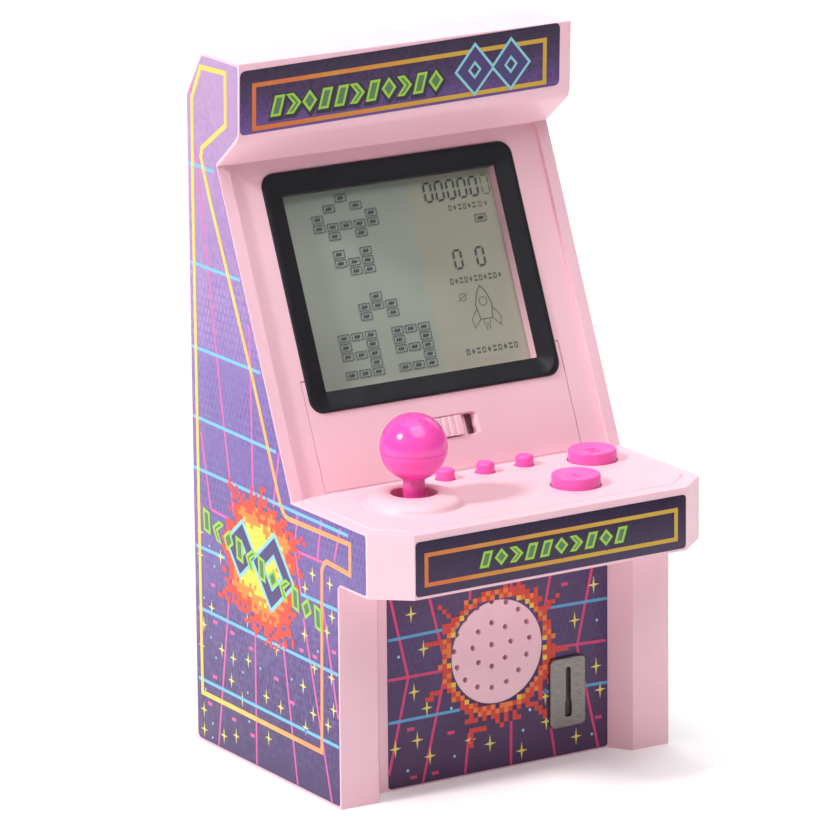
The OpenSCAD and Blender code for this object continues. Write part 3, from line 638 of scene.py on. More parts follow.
# window: clear sheet over its black printed border
CLEAR = plain("clear_acrylic", (22, 22, 24), 0.05, var=0.005, grain=500, bump=0.03, depth=1e-5, rough_var=0.015, Alpha=0.07)
lens = rounded(prism(rrect(-30.8, 30.8, -54.1, -3.0, 3.0), "Z", -0.56, -0.5), even(0.0), 1)
lens = moved(lens, SL)
new_piece("window_film", lens, CLEAR, slot="clear_window", replaces="screen_lens")


def ring_slab(outer, inner, levels):
    """Closed frame between two outlines of as many corners; levels are (height, outer inset, inner inset)."""
    bm = bmesh.new()

    def inset(pts, d):
        n = len(pts)
        out = []
        for i in range(n):
            p, q, r = Vector(pts[i - 1]), Vector(pts[i]), Vector(pts[(i + 1) % n])
            e1, e2 = (q - p).normalized(), (r - q).normalized()
            n1, n2 = Vector((-e1.y, e1.x)), Vector((-e2.y, e2.x))
            b = (n1 + n2)
            k = d / max(0.2, (b.length / 2) ** 2) / 2
            out.append(q + b * k)
        return out

    outs, ins = [], []
    for h, do, di in levels:
        outs.append([bm.verts.new((p.x, p.y, h)) for p in inset(outer, do)])
        ins.append([bm.verts.new((p.x, p.y, h)) for p in inset(inner, -di)])
    n = len(outer)
    for rows in (outs, ins):
        for a, b in zip(rows, rows[1:]):
            for i in range(n):
                j = (i + 1) % n
                bm.faces.new([a[i], a[j], b[j], b[i]])
    for k in (0, -1):
        for i in range(n):
            j = (i + 1) % n
            bm.faces.new([outs[k][i], outs[k][j], ins[k][j], ins[k][i]])
    bmesh.ops.recalc_face_normals(bm, faces=bm.faces)
    return bm


N8 = 8
outer = rrect(-30.75, 30.75, -54.05, -3.05, 2.95, N8)
inner = rrect(-26.15, 26.15, -49.8, -7.6, 0.25, N8)
border = ring_slab(outer, inner, [(-1.6, 0.0, 0.0), (-1.5, 0.0, 0.0), (-0.66, 0.0, 3.5), (-0.6, 0.06, 3.75)])
new_piece("window_border", moved(border, SL), BLACK_PRINT, slot="black_mask", replaces="screen_mask", sharp=8)
# black strip along the window's top inner wall, from the display glass up to the border: a painted shadow under the
# window's upper edge
new_piece("window_lining", moved(block(-26.1, 26.1, -7.78, -7.62, -4.0, -1.62), SL), BLACK_PRINT, slot="black_mask")


# ------------------------------------------------------------------ display
def lcd_material():
    t = Tree("display_glass")
    co = t.coords()
    sep = t.add("ShaderNodeSeparateXYZ", Vector=co)
    # from x of 3.5 mm to 6.5 mm the glass fades into a warmer tone: a painted reflection over the right part of the
    # display
    x = t.add("ShaderNodeMapRange", Value=sep.outputs[0], i1=0.0035, i2=0.0065, i3=0.0, i4=1.0).outputs[0]
    cloud = t.noise(co, 60, 2.0)
    left = t.ramp(cloud, [(0.3, lin((166, 177, 165))), (0.7, lin((174, 185, 172)))])
    right = t.ramp(cloud, [(0.3, lin((176, 178, 160))), (0.7, lin((184, 186, 168)))])
    col = t.mix(x, left, right)
    grid = t.add("ShaderNodeTexVoronoi", {"feature": "F1"}, Vector=co, Scale=4200.0).outputs["Distance"]
    col = t.mix(t.spread(grid, 0.0, 0.05), col, lin((90, 98, 90)))
    return t.done(col, t.spread(cloud, 0.3, 0.38), t.bump(grid, 0.05, 4e-6))


LCD = lcd_material()
glass = rounded(moved(block(-28.4, 28.4, -51.6, -5.6, -5.2, -4.1), Matrix()), even(0.08), 2)
glass_back = rounded(moved(block(-28.4, 28.4, -48.6, -5.6, -6.3, -5.22), Matrix()), even(0.08), 2)
new_piece("display_cell", moved(joined(glass, glass_back), SL), LCD, slot="display_glass", replaces="lcd_glass")


def slab(polys, put, h0, h1, step=0.0012):
    """Thin closed solids over flat outlines; a ("ring", outer, inner) is a frame. Each top is a touch higher than the last."""
    bm = bmesh.new()
    for i, poly in enumerate(polys):
        top = h1 + step * (i % 12)
        if poly[0] == "ring":
            loops = [[[bm.verts.new(put(u, v, h)) for u, v in loop] for h in (h0, top)] for loop in poly[1:]]
            (olo, ohi), (ilo, ihi) = loops
            n = len(olo)
            for k in range(n):
                j = (k + 1) % n
                bm.faces.new([ohi[k], ohi[j], ihi[j], ihi[k]])
                bm.faces.new([olo[k], ilo[k], ilo[j], olo[j]])
                bm.faces.new([olo[k], olo[j], ohi[j], ohi[k]])
                bm.faces.new([ilo[k], ihi[k], ihi[j], ilo[j]])
            continue
        clean = []
        for p in poly:
            if not clean or math.dist(p, clean[-1]) > 1e-3:
                clean.append(p)
        if math.dist(clean[0], clean[-1]) < 1e-3:
            clean.pop()
        hi = [bm.verts.new(put(u, v, top)) for u, v in clean]
        lo = [bm.verts.new(put(u, v, h0)) for u, v in clean]
        bm.faces.new(hi)
        bm.faces.new(lo[::-1])
        n = len(hi)
        for k in range(n):
            bm.faces.new([lo[k], lo[(k + 1) % n], hi[(k + 1) % n], hi[k]])
    bmesh.ops.recalc_face_normals(bm, faces=bm.faces)
    return bm


def ring(outer, inner):
    return [("ring", outer, inner)]


def stroke(pts, w, closed=False):
    """A line of width w through pts with mitred corners."""
    n = len(pts)
    left, right = [], []
    for i in range(n):
        p = Vector(pts[i])
        prev = Vector(pts[i - 1]) if i or closed else None
        nxt = Vector(pts[(i + 1) % n]) if i < n - 1 or closed else None
        d1 = (p - prev).normalized() if prev is not None else (nxt - p).normalized()
        d2 = (nxt - p).normalized() if nxt is not None else d1
        n1, n2 = Vector((-d1.y, d1.x)), Vector((-d2.y, d2.x))
        b = n1 + n2
        b = b / max(b.length_squared / 2, 0.25) if b.length > 1e-6 else n1
        left.append(tuple(p + b * (w / 2)))
        right.append(tuple(p - b * (w / 2)))
    if closed:
        return ring(left, right)
    return [left + right[::-1]]


def on_display(u, v, h):
    return SL @ Vector((u, -v, -4.1 + h))


def seg_digit(x, s, w=1.75, hgt=4.0, t=0.36, slant=0.0):
    """Seven-segment nought, drawn as separate bars with gaps, centred on (x, s)."""
    out = []
    hw2, hh = w / 2, hgt / 2
    g = 0.16

    def bar(x0, s0, x1, s1):
        d = Vector((x1 - x0, s1 - s0)).normalized()
        nrm = Vector((-d.y, d.x))
        a, b = Vector((x0, s0)) + d * g, Vector((x1, s1)) - d * g
        q = t / 2
        pts = [a, a + d * q + nrm * q, b - d * q + nrm * q, b, b - d * q - nrm * q, a + d * q - nrm * q]
        out.append([(x + p.x - slant * p.y, s + p.y) for p in pts])

    bar(-hw2, -hh, hw2, -hh)
    bar(-hw2, hh, hw2, hh)
    for sx in (-1, 1):
        bar(sx * hw2, -hh, sx * hw2, 0)
        bar(sx * hw2, 0, sx * hw2, hh)
    return out


def cell_art(c, r):
    x, s = -17.53 + 3.283 * c, 9.62 + 1.966 * r
    a, b = 1.38, 0.83
    out = ring([(x - a, s - b), (x + a, s - b), (x + a, s + b), (x - a, s + b)], [(x - a + 0.15, s - b + 0.15), (x + a - 0.15, s - b + 0.15), (x + a - 0.15, s + b - 0.15), (x - a + 0.15, s + b - 0.15)])
    for k in range(3):
        x0 = x - 0.68 + 0.47 * k
        out.append([(x0, s - 0.34), (x0 + 0.34, s - 0.34), (x0 + 0.34, s + 0.34), (x0, s + 0.34)])
    return out


CELLS = [(2, 0), (1, 1), (3, 1), (0, 2), (4, 2), (0, 3), (1, 3), (2, 3), (3, 3), (4, 3), (1, 4), (3, 4),
         (1, 6), (3, 6), (1, 7), (2, 7), (3, 7), (2, 8), (3, 8),
         (3, 11), (2, 12), (3, 12), (4, 12), (2, 13), (4, 13),
         (0, 15), (1, 15), (2, 15), (0, 16), (2, 16), (0, 17), (1, 17), (2, 17), (2, 18), (0, 19), (1, 19), (2, 19),
         (4, 15), (5, 15), (6, 15), (4, 16), (6, 16), (4, 17), (5, 17), (6, 17), (6, 18), (4, 19), (5, 19), (6, 19)]
marks = [p for c, r in CELLS for p in cell_art(c, r)]
for k in range(5):
    marks += seg_digit(10.35 + 2.84 * k, 11.2)
faint = []
faint += seg_digit(10.35 + 2.84 * 5, 11.2)
for x in (14.0, 19.6):
    marks += seg_digit(x, 26.2, 1.8, 3.9)
# the single cell of the right column
bx, bs = 21.75, 18.1
marks += ring([(bx - 1.38, bs - 0.83), (bx + 1.38, bs - 0.83), (bx + 1.38, bs + 0.83), (bx - 1.38, bs + 0.83)], [(bx - 1.23, bs - 0.68), (bx + 1.23, bs - 0.68), (bx + 1.23, bs + 0.68), (bx - 1.23, bs + 0.68)])
marks += [[(bx - 0.68 + 0.47 * k, bs - 0.31), (bx - 0.27 + 0.47 * k, bs - 0.31), (bx - 0.27 + 0.47 * k, bs + 0.31), (bx - 0.68 + 0.47 * k, bs + 0.31)] for k in range(3)]


def tally(x0, x1, s, hgt, n):
    """A row of plain marks in the place of a caption: bars, squares and diamonds in turn."""
    out = []
    step = (x1 - x0) / n
    for k in range(n):
        x = x0 + step * (k + 0.5)
        q, hh = step * 0.34, hgt / 2
        kind = k % 3
        if kind == 0:
            out += ring([(x - q, s - hh), (x + q, s - hh), (x + q, s + hh), (x - q, s + hh)], [(x - q * 0.45, s - hh * 0.55), (x + q * 0.45, s - hh * 0.55), (x + q * 0.45, s + hh * 0.55), (x - q * 0.45, s + hh * 0.55)])
        elif kind == 1:
            out.append([(x, s - hh), (x + q, s), (x, s + hh), (x - q, s)])
        else:
            out.append([(x - q, s - hh), (x + q, s - hh), (x + q, s - hh * 0.3), (x - q, s - hh * 0.3)])
            out.append([(x - q, s + hh * 0.3), (x + q, s + hh * 0.3), (x + q, s + hh), (x - q, s + hh)])
    return out


captions = tally(14.2, 21.4, 15.2, 1.25, 6) + tally(10.6, 23.8, 30.75, 1.3, 11) + tally(10.7, 24.0, 46.05, 1.3, 10)
# a small rocket over a ringed planet
rocket = [(16.2, 39.6), (15.7, 36.4), (16.6, 33.8), (17.7, 32.4), (18.8, 33.8), (19.7, 36.4), (19.2, 39.6)]
captions += stroke(rocket, 0.24, True)
captions += stroke([(15.8, 37.2), (14.1, 39.4), (14.5, 41.3), (16.2, 39.6)], 0.2)
captions += stroke([(19.6, 37.2), (21.3, 39.4), (20.9, 41.3), (19.2, 39.6)], 0.2)
captions += stroke([(17.7 + 0.95 * math.cos(a * math.pi / 6), 35.8 + 0.95 * math.sin(a * math.pi / 6)) for a in range(12)], 0.2, True)
captions += stroke([(16.9, 39.9), (17.3, 42.0), (17.7, 40.6), (18.1, 42.0), (18.5, 39.9)], 0.2)
captions += stroke([(13.0 + 0.8 * math.cos(a * math.pi / 5), 34.4 + 0.8 * math.sin(a * math.pi / 5)) for a in range(10)], 0.18, True)
captions += stroke([(11.7, 35.2), (14.3, 33.6)], 0.18)
LCD_INK = ink("display_segments", (74, 78, 88), rough=0.3)
LCD_SOFT = ink("display_captions", (112, 116, 112), rough=0.3)
LCD_FAINT = plain("display_segments_off", (108, 114, 108), 0.34, Alpha=0.16)
# faint see-through grey for the painted shadows of the display segments
LCD_SHADE = plain("display_ghost", (92, 98, 92), 0.4, Alpha=0.12)
new_piece("display_marks", slab(marks, on_display, 0.002, 0.02), LCD_INK, slot="display_glass", sharp=20, weighted=False)
new_piece("display_captions", slab(captions, on_display, 0.002, 0.02), LCD_SOFT, slot="display_glass", sharp=20, weighted=False)
new_piece("display_marks_faint", slab(faint + tally(21.6, 24.4, 15.2, 1.25, 2), on_display, 0.002, 0.02), LCD_FAINT, slot="display_glass", sharp=20, weighted=False)


def shifted(polys, du, dv):
    return [("ring", [(u + du, v + dv) for u, v in p[1]], [(u + du, v + dv) for u, v in p[2]]) if p[0] == "ring" else [(u + du, v + dv) for u, v in p] for p in polys]


# painted shadows of the segments: faint darker copies of the marks, shifted to the left and down the glass
painted_segment_shadows = shifted(marks, -0.3, 0.24)
new_piece("display_ghost_marks", slab(painted_segment_shadows, on_display, 0.0008, 0.001, 0.0), LCD_SHADE, slot="display_glass", sharp=20, weighted=False)


# ------------------------------------------------------------------ coin plate
def brushed():
    t = Tree("brushed_plate")
    co = t.add("ShaderNodeVectorMath", {"operation": "MULTIPLY"}, i0=t.coords(), i1=(1.0, 1.0, 14.0)).outputs[0]
    n = t.noise(co, 420, 4.0, 0.65)
    col = t.ramp(n, [(0.3, lin((104, 99, 97))), (0.7, lin((136, 130, 127)))])
    return t.done(col, t.spread(n, 0.24, 0.36), t.bump(n, 0.12, 4e-6), Metallic=0.9, Anisotropic=0.5)


PLATE = brushed()


CPX, CPZ, CPY = 17.9, 14.3, PAN_Y - 0.12
plate = rounded(prism([(x + CPX, z + CPZ) for x, z in rrect(-4.45, 4.45, -7.7, 7.7, 1.2, 6)], "Y", CPY - 0.75, CPY), lambda m, a, b, c: 0.34 if m.y < CPY - 0.5 else 0.0, 3, 40)
kbar = prism([(x + CPX, z + CPZ) for x, z in rrect(-0.62, 0.62, -3, 5.55, 0.6, 6)], "Y", CPY - 2, CPY + 1)
kbulb = prism([(x + CPX, z + CPZ) for x, z in rrect(-0.86, 0.86, -5.4, -1.6, 0.6, 6)], "Y", CPY - 2, CPY + 1)
plate = csg(plate, ("-", kbar), ("-", kbulb))
new_piece("coin_door_plate", plate, PLATE, slot="brushed_plate", replaces="coin_plate", sharp=40)
# dark grey sheet behind the keyhole: a painted shadow inside the slot
slot_shadow_sheet = prism([(x + CPX, z + CPZ) for x, z in rrect(-1.2, 1.2, -5.8, 5.9, 0.5, 4)], "Y", CPY - 0.13, CPY - 0.02)
new_piece("coin_slot_back", slot_shadow_sheet, plain("slot_shadow", (58, 56, 55), 0.5), slot="brushed_plate")


# ------------------------------------------------------------------ buttons and stick
def small_button(name, cad, body, c):
    prof = [(0, 55.4), (1.25, 55.4), (1.3, 55.5), (1.3, 58.3), (2.8, 58.3), (2.85, 58.35), (2.85, 59.15), (2.8, 59.2), (1.95, 59.2), (1.95, 63.3)]
    prof += [(1.2 + 0.75 * math.cos(math.radians(a)), 63.35 + 0.66 * math.sin(math.radians(a))) for a in range(6, 91, 7)]
    prof += [(0.8, 64.03), (0.4, 64.045), (0, 64.05)]
    new_piece(name, lathe(prof, (c[0], c[1], 0), n=64), HOT_BTN, body, "control_plastic", cad, 50)


small_button("small_button_left", "button_small_left", "cap_small_left", SMALL[0])
small_button("small_button_middle", "button_small_middle", "cap_small_middle", SMALL[1])
small_button("small_button_right", "button_small_right", "cap_small_right", SMALL[2])


def large_button(name, cad, body, c, cuts):
    prof = [(0, 55.4), (1.55, 55.4), (1.6, 55.45), (1.6, 58.3), (6.0, 58.3), (6.05, 58.35), (6.05, 59.15), (6.0, 59.2), (5.15, 59.2), (5.15, 63.62)]
    prof += [(4.7 + 0.45 * math.cos(math.radians(a)), 63.7 + 0.5 * math.sin(math.radians(a))) for a in range(0, 91, 9)]
    prof += [(4.35, 64.17), (3.95, 64.06), (3.5, 63.9), (2.9, 63.77), (2.0, 63.67), (1.0, 63.62), (0, 63.6)]
    bm = lathe(prof, (c[0], c[1], 0), n=96)
    for cut in cuts:
        pts = [(c[0] + x, c[1] + y) for x, y in cut]
        tool = prism(pts, "Z", 63.36, 65)
        tool = rounded(tool, lambda m, a, b, cc: 0.06 if m.z < 63.4 else 0.0, 2)
        bm = csg(bm, ("-", tool))
    new_piece(name, bm, HOT_BTN, body, "control_plastic", cad, 40)


one = [(-0.27, -1.55), (0.27, -1.55), (0.27, 1.55), (-0.27, 1.55)]
two = [(-1.1, -1.5), (1.12, -1.5), (1.12, -1.02), (-0.62, -1.02), (-0.62, -0.24), (1.12, -0.24), (1.12, 1.5), (-1.1, 1.5), (-1.1, 1.02), (0.64, 1.02), (0.64, 0.24), (-1.1, 0.24)]
large_button("large_button_1", "button_1", "cap_1", BTN1, [one])
large_button("large_button_2", "button_2", "cap_2", BTN2, [two])

BZ, BR = 73.75, 7.05
prof = [(1.5, -6.45), (2.2, -6.62), (2.45, -6.6), (2.62, -6.545)]
for a in range(-67, 0, 4):
    prof.append((BR * math.cos(math.radians(a)), BR * math.sin(math.radians(a))))
prof = [p for p in prof if not (-1.05 < p[1] < -0.35)]
prof += [(6.975, -1.0), (6.99, -0.9), (6.93, -0.84), (6.93, -0.74), (7.02, -0.68), (7.04, -0.4)]
prof = sorted(prof[:3], key=lambda p: 0) + sorted(prof[3:], key=lambda p: p[1])
for a in range(1, 90, 4):
    prof.append((BR * math.cos(math.radians(a)), BR * math.sin(math.radians(a))))
prof += [(0, BR), ]
inner_prof = [(0, 1.0), (1.5, 1.0)]
new_piece("stick_ball", lathe(inner_prof + prof, (JX, JY, BZ), n=128), HOT, "stick", "control_plastic", "joystick_ball", 60)

shaft = [(0, 53.3), (1.15, 53.3), (1.2, 53.35), (1.2, 55.1), (2.25, 55.1), (2.3, 55.15), (2.3, 67.05), (2.2, 67.15), (1.45, 67.15), (1.45, 74.6), (0, 74.6)]
stem = csg(lathe(shaft, (JX, JY, 0), n=64), ("-", lathe([(0, -4), (0.6, -4), (0.6, 4), (0, 4)], (JX, JY, 57), "Y", 32)))
new_piece("stick_shaft", stem, HOT, "stick", "control_plastic", "joystick_shaft", 50)

# knob of the power switch: grip with finger grooves over a sliding plate
grip = rounded(prism(rrect(-2.85, 4.1, -63.35, -59.15, 0.5, 5), "Z", -2.3, -0.55), lambda m, a, b, c: 0.16 if m.z > -0.6 else 0.0, 3, 40)
for x in (-0.95, 0.62, 2.2):
    grip = csg(grip, ("-", prism([(x + 0.62 * math.cos(math.radians(t)), -0.1 + 0.62 * math.sin(math.radians(t))) for t in range(0, 360, 12)], "Y", -66, -56)))
grip = csg(grip, ("+", block(-4.6, 5.9, -64.1, -58.6, -3.2, -2.6)), ("+", block(-2.7, 4.0, -63.1, -59.4, -2.7, -2.2)), ("+", block(-0.5, 1.7, -62.3, -60.2, -5.9, -3.1)))
new_piece("switch_grip", moved(grip, SL), PINK, "switch_slider", "body_plastic", "power_switch_knob", 40)

# ------------------------------------------------------------------ rear
BOSSES = [(x, z) for x in (-35.3, 35.3) for z in (9, 131.2)]


def ycyl(x, z, y0, y1, r, n=40):
    return lathe([(0, y0), (r, y0), (r, y1), (0, y1)], (x, 0, z), "Y", n)


def face_rule(y, w):
    return lambda m, a, b, c: w if c and abs(a.y - y) < 0.01 and abs(b.y - y) < 0.01 else 0.0


cover = rounded(block(-38.3, 38.3, 35.8, 38.0, 2.4, 137.3), lambda m, a, b, c: 0.3 if m.y > 37.9 else (0.5 if abs(a.y - b.y) > 1 else 0.0), 3)
cover = csg(cover, ("+", block(-27.2, 27.2, 34.9, 36.0, 16.2, 62.2)), ("+", block(-26.4, 26.4, 22.6, 35.6, 17.9, 54.8)), ("+", ycyl(0, 57.2, 29.5, 35.9, 3.0)),
            ("-", block(-24.9, 24.9, 24.0, 44, 19.4, 53.3)))
seat = rounded(block(-25.6, 25.6, 36.1, 39, 18, 60.4), lambda m, a, b, c: 0.6 if abs(a.y - b.y) > 1 else 0.0, 4)
cover = csg(cover, ("-", seat), *[("-", block(s * 15 - 3.6, s * 15 + 3.6, 35.6, 37.05, 16.6, 19.5)) for s in (-1, 1)], ("-", ycyl(0, 57.2, 30.5, 38.5, 1.5)))
for x, z in BOSSES:
    cover = csg(cover, ("-", ycyl(x, z, 35, 39, 1.15)), ("-", lathe([(0, 36.9), (2.3, 36.9), (2.3, 37.8), (2.38, 37.92), (2.5, 38.0), (2.6, 38.6), (0, 38.6)], (x, 0, z), "Y", 48)))
for s in (-1, 1):
    cover = csg(cover, ("-", ycyl(s * 24, 49.6, 22, 25, 0.75)))
# sound slots are not cut through: shallow moulded lines only, above the door
lines = [rounded(block(-16, 16, 37.75, 39, z - 0.5, z + 0.5), lambda m, a, b, c: 0.4 if abs(a.y - b.y) > 1 else 0.0, 4) for z in (92, 95.5, 99, 102.5, 106)]
cover = csg(cover, *[("-", b) for b in lines])
new_piece("back_cover", cover, PINK, slot="body_plastic", replaces="rear_cover", sharp=36)

door = rounded(block(-25.35, 25.35, 36.25, 37.9, 18.25, 60.15), lambda m, a, b, c: 0.22 if m.y > 37.8 else (0.5 if abs(a.y - b.y) > 1 else 0.0), 3)
ribs = [rounded(block(-9, 9, 37.5, 38.15, 48 - 1.8 * i, 48.8 - 1.8 * i), lambda m, a, b, c: 0.3 if m.y > 38.1 else 0.0, 4) for i in range(5)]
door = csg(door, *[("+", r) for r in ribs], *[("+", block(s * 15 - 3.2, s * 15 + 3.2, 36.5, 36.95, 16.8, 18.6)) for s in (-1, 1)],
           ("-", ycyl(0, 57.2, 36, 39, 1.1)), ("-", lathe([(0, 37.1), (2.3, 37.1), (2.3, 37.75), (2.4, 37.85), (2.5, 37.9), (2.6, 38.4), (0, 38.4)], (0, 0, 57.2), "Y", 48)))
# an arrow cut shallow into the door
arrow = prism([(-2.2, 28.8), (0, 26.0), (2.2, 28.8), (0.75, 28.8), (0.75, 32.5), (-0.75, 32.5), (-0.75, 28.8)], "Y", 37.7, 39)
door = csg(door, ("-", arrow))
new_piece("battery_hatch", door, PINK, "bay_door", "body_plastic", "battery_door", 36)


def screw(x, z, y_head, y_top, y_tip, r_head=2.0, r_core=0.98):
    prof = [(0, y_tip), (r_core * 0.35, y_tip), (r_core * 0.7, y_tip + 0.5)]
    y = y_tip + 0.9
    while y < y_head - 0.8:
        prof += [(r_core * 0.74, y), (r_core, y + 0.22), (r_core * 0.74, y + 0.44)]
        y += 0.7
    prof += [(r_core * 0.74, y_head), (r_head - 0.05, y_head), (r_head, y_head + 0.08), (r_head, y_top - 0.45), (r_head - 0.12, y_top - 0.24), (r_head - 0.45, y_top - 0.07), (r_head - 1.0, y_top), (0, y_top)]
    bm = lathe(prof, (x, 0, z), "Y", 40)
    a = rounded(block(x - 1.25, x + 1.25, y_top - 0.45, y_top + 1, z - 0.2, z + 0.2), even(0.03), 1)
    b = rounded(block(x - 0.2, x + 0.2, y_top - 0.47, y_top + 1, z - 1.25, z + 1.25), even(0.03), 1)
    return csg(bm, ("-", a), ("-", b))


new_piece("cover_screws", joined(*[screw(x, z, 36.92, 37.9, 30.6) for x, z in BOSSES]), STEEL, slot="plated_steel", replaces="rear_cover_screws", sharp=35)
hatch_screw = csg(screw(0, 57.2, 37.12, 38.0, 32.7, 2.0, 0.93), ("+", ycyl(0, 57.2, 35.35, 36.05, 1.32)))
hatch_screw_body = "bay_door" if frame["nodes"]["battery_door_screw"]["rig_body"] == "bay_door" else "cabinet"
new_piece("hatch_screw", hatch_screw, STEEL, hatch_screw_body, "plated_steel", "battery_door_screw", 35)


# cells: printed jacket with a band, metal ends
def cell_material():
    t = Tree("cell_jacket")
    co = t.coords()
    sep = t.add("ShaderNodeSeparateXYZ", Vector=co)
    x = sep.outputs[0]
    band = t.math("LESS_THAN", t.math("ABSOLUTE", t.math("SUBTRACT", x, 0.0125)), 0.006)
    n = t.noise(co, 900, 2.0)
    a = t.ramp(n, [(0.3, lin((38, 92, 150))), (0.7, lin((44, 100, 160)))])
    b = t.ramp(n, [(0.3, lin((196, 200, 206))), (0.7, lin((214, 216, 222)))])
    return t.done(t.mix(band, a, b), t.spread(n, 0.2, 0.3), t.bump(n, 0.15, 1e-5))


CELL = cell_material()
bodies, ends = [], []
for i, z in enumerate((25.05, 36.35, 47.65)):
    s = 1 if i % 2 == 0 else -1
    L = 44.5
    jacket = [(0, -L / 2 + 0.15), (4.1, -L / 2 + 0.15), (4.3, -L / 2), (5.0, -L / 2), (5.2, -L / 2 + 0.12), (5.25, -L / 2 + 0.3), (5.25, L / 2 - 1.3), (5.2, L / 2 - 1.1), (5.0, L / 2 - 1.0), (4.5, L / 2 - 1.0), (4.4, L / 2 - 1.12), (0, L / 2 - 1.12)]
    knob = [(0, L / 2 - 1.3), (2.6, L / 2 - 1.11), (2.6, L / 2 - 1.02), (1.95, L / 2 - 0.95), (1.9, L / 2 - 0.85), (1.9, L / 2 - 0.15), (1.8, L / 2 - 0.02), (1.6, L / 2), (0, L / 2)]
    tail = [(0, -L / 2 + 0.02), (3.9, -L / 2 + 0.02), (4.05, -L / 2 + 0.1), (4.05, -L / 2 + 0.3), (0, -L / 2 + 0.3)]
    for prof, out in ((jacket, bodies), (knob, ends), (tail, ends)):
        out.append(lathe([(r, h * s) for r, h in prof], (0, 29.6, z), "X", 64))
new_piece("cells_jackets", joined(*bodies), CELL, slot="cell_wrap", replaces="battery_cells", sharp=40)
new_piece("cells_ends", joined(*ends), STEEL, slot="cell_wrap", sharp=40)


def helix(x0, x1, r0, r1, turns, wire, c, n=26, m=10):
    bm = bmesh.new()
    rows = []
    total = int(turns * n)
    for k in range(total + 1):
        t = k / total
        a = 2 * math.pi * turns * t
        r = r0 + (r1 - r0) * t
        x = x0 + (x1 - x0) * t
        row = []
        for j in range(m):
            q = 2 * math.pi * j / m
            rr = r + wire * math.cos(q)
            row.append(bm.verts.new((x + wire * math.sin(q), c[0] + rr * math.cos(a), c[1] + rr * math.sin(a))))
        rows.append(row)
    for a, b in zip(rows, rows[1:]):
        for j in range(m):
            bm.faces.new([a[j], a[(j + 1) % m], b[(j + 1) % m], b[j]])
    bm.faces.new(rows[0])
    bm.faces.new(rows[-1])
    bmesh.ops.recalc_face_normals(bm, faces=bm.faces)
    return bm


coils = []
for i, z in enumerate((25.05, 36.35, 47.65)):
    s = 1 if i % 2 == 0 else -1
    coils.append(helix(-s * 22.55, -s * 24.3, 2.1, 3.4, 3.2, 0.26, (29.6, z)))
    coils.append(rounded(block(*sorted((-s * 24.35, -s * 24.8)), 25.6, 33.6, z - 4, z + 4), even(0.12), 2))
new_piece("cell_springs", joined(*coils), SPRING, slot="plated_steel", replaces="battery_springs", sharp=40)

# rubber contacts: each one flattens under its cap
for node, spot, r, joint, keep in (("dome_small_left", SMALL[0], 2.9, "press_small_left", 0.74), ("dome_small_middle", SMALL[1], 2.9, "press_small_middle", 0.74),
                                   ("dome_small_right", SMALL[2], 2.9, "press_small_right", 0.74), ("dome_1", BTN1, 3.8, "press_button_1", 0.68), ("dome_2", BTN2, 3.8, "press_button_2", 0.68)):
    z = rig.box(node)[0].z
    prof = [(0, 2.2), (0, 3.35), (1.2, 3.35), (1.3, 3.3), (1.4, 3.15), (1.47, 3.0), (1.6, 2.3), (1.7, 1.9), (r - 0.7, 0.74), (r - 0.5, 0.62), (r - 0.1, 0.5), (r, 0.42), (r, 0), (r - 0.7, 0), (1.1, 1.5), (1.0, 2.2)]
    contact = new_piece("contact_" + node, lathe(prof, (spot[0], spot[1], z * 1000), n=48), RUBBER, slot="contact_rubber", replaces=node, sharp=40, weighted=False)
    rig.squash(contact, joint, axis=(0, 0, 1), anchor=(spot[0] / 1000, spot[1] / 1000, z), keep=keep)

# ------------------------------------------------------------------ what stays as the CAD has it
KEEP = {
    "lcd_frame": WHITE_ABS, "lcd_connector": RUBBER, "main_board": BOARD, "main_board_screws": STEEL, "controller_chip": BLACK_ABS, "battery_plates": STEEL,
    "battery_wires": WIRE, "speaker_wires": WIRE, "speaker_basket": BLACK_ABS, "speaker_cone": BLACK_ABS, "speaker_magnet": STEEL, "key_board": BOARD,
    "key_board_screws": STEEL, "ribbon_cable": RUBBER, "joystick_domes": RUBBER, "joystick_cross_pin": STEEL, "joystick_housing": PINK, "joystick_housing_screws": STEEL,
    "joystick_actuator": BLACK_ABS, "gimbal_ring": BLACK_ABS, "power_switch_body": PINK,
}
for name, mat in KEEP.items():
    me = frame["nodes"][name].data
    me.materials.clear()
    me.materials.append(mat)
    for p in me.polygons:
        p.material_index = 0
    me.shade_smooth()
    me.set_sharp_from_angle(angle=math.radians(35))

# ------------------------------------------------------------------ labels
LT = 0.12


def on_side(s):
    return lambda u, v, h: Vector((s * (HW + h), u, v))


def on_lower(u, v, h):
    return Vector((u, PAN_Y - h, v))


def on_control(u, v, h):
    return Vector((u, -YB - h, v))


MARQ_R, MARQ_C = 4.0, (20.64, 136.1)
MA = Vector((16.2, TOP))
MB = Vector((MARQ_C[0] + MARQ_R * math.cos(math.radians(181.8)), MARQ_C[1] + MARQ_R * math.sin(math.radians(181.8))))
MD = (MB - MA).normalized()
ML = (MB - MA).length


def on_marquee(u, v, h):
    """u across, v height on the face; it follows the rounded lower edge, and the print sits turned by about a degree."""
    v = v + 0.0192 * (u + 1.3)
    t = (TOP - v)
    if t <= ML:
        p = MA + MD * t
        n = Vector((-abs(MD.y), MD.x if MD.x < 0 else -MD.x)).normalized()
        return Vector((u, p.x + n.x * h, p.y + n.y * h))
    a = math.radians(181.8) + (t - ML) / MARQ_R
    return Vector((u, MARQ_C[0] + (MARQ_R + h) * math.cos(a), MARQ_C[1] + (MARQ_R + h) * math.sin(a)))


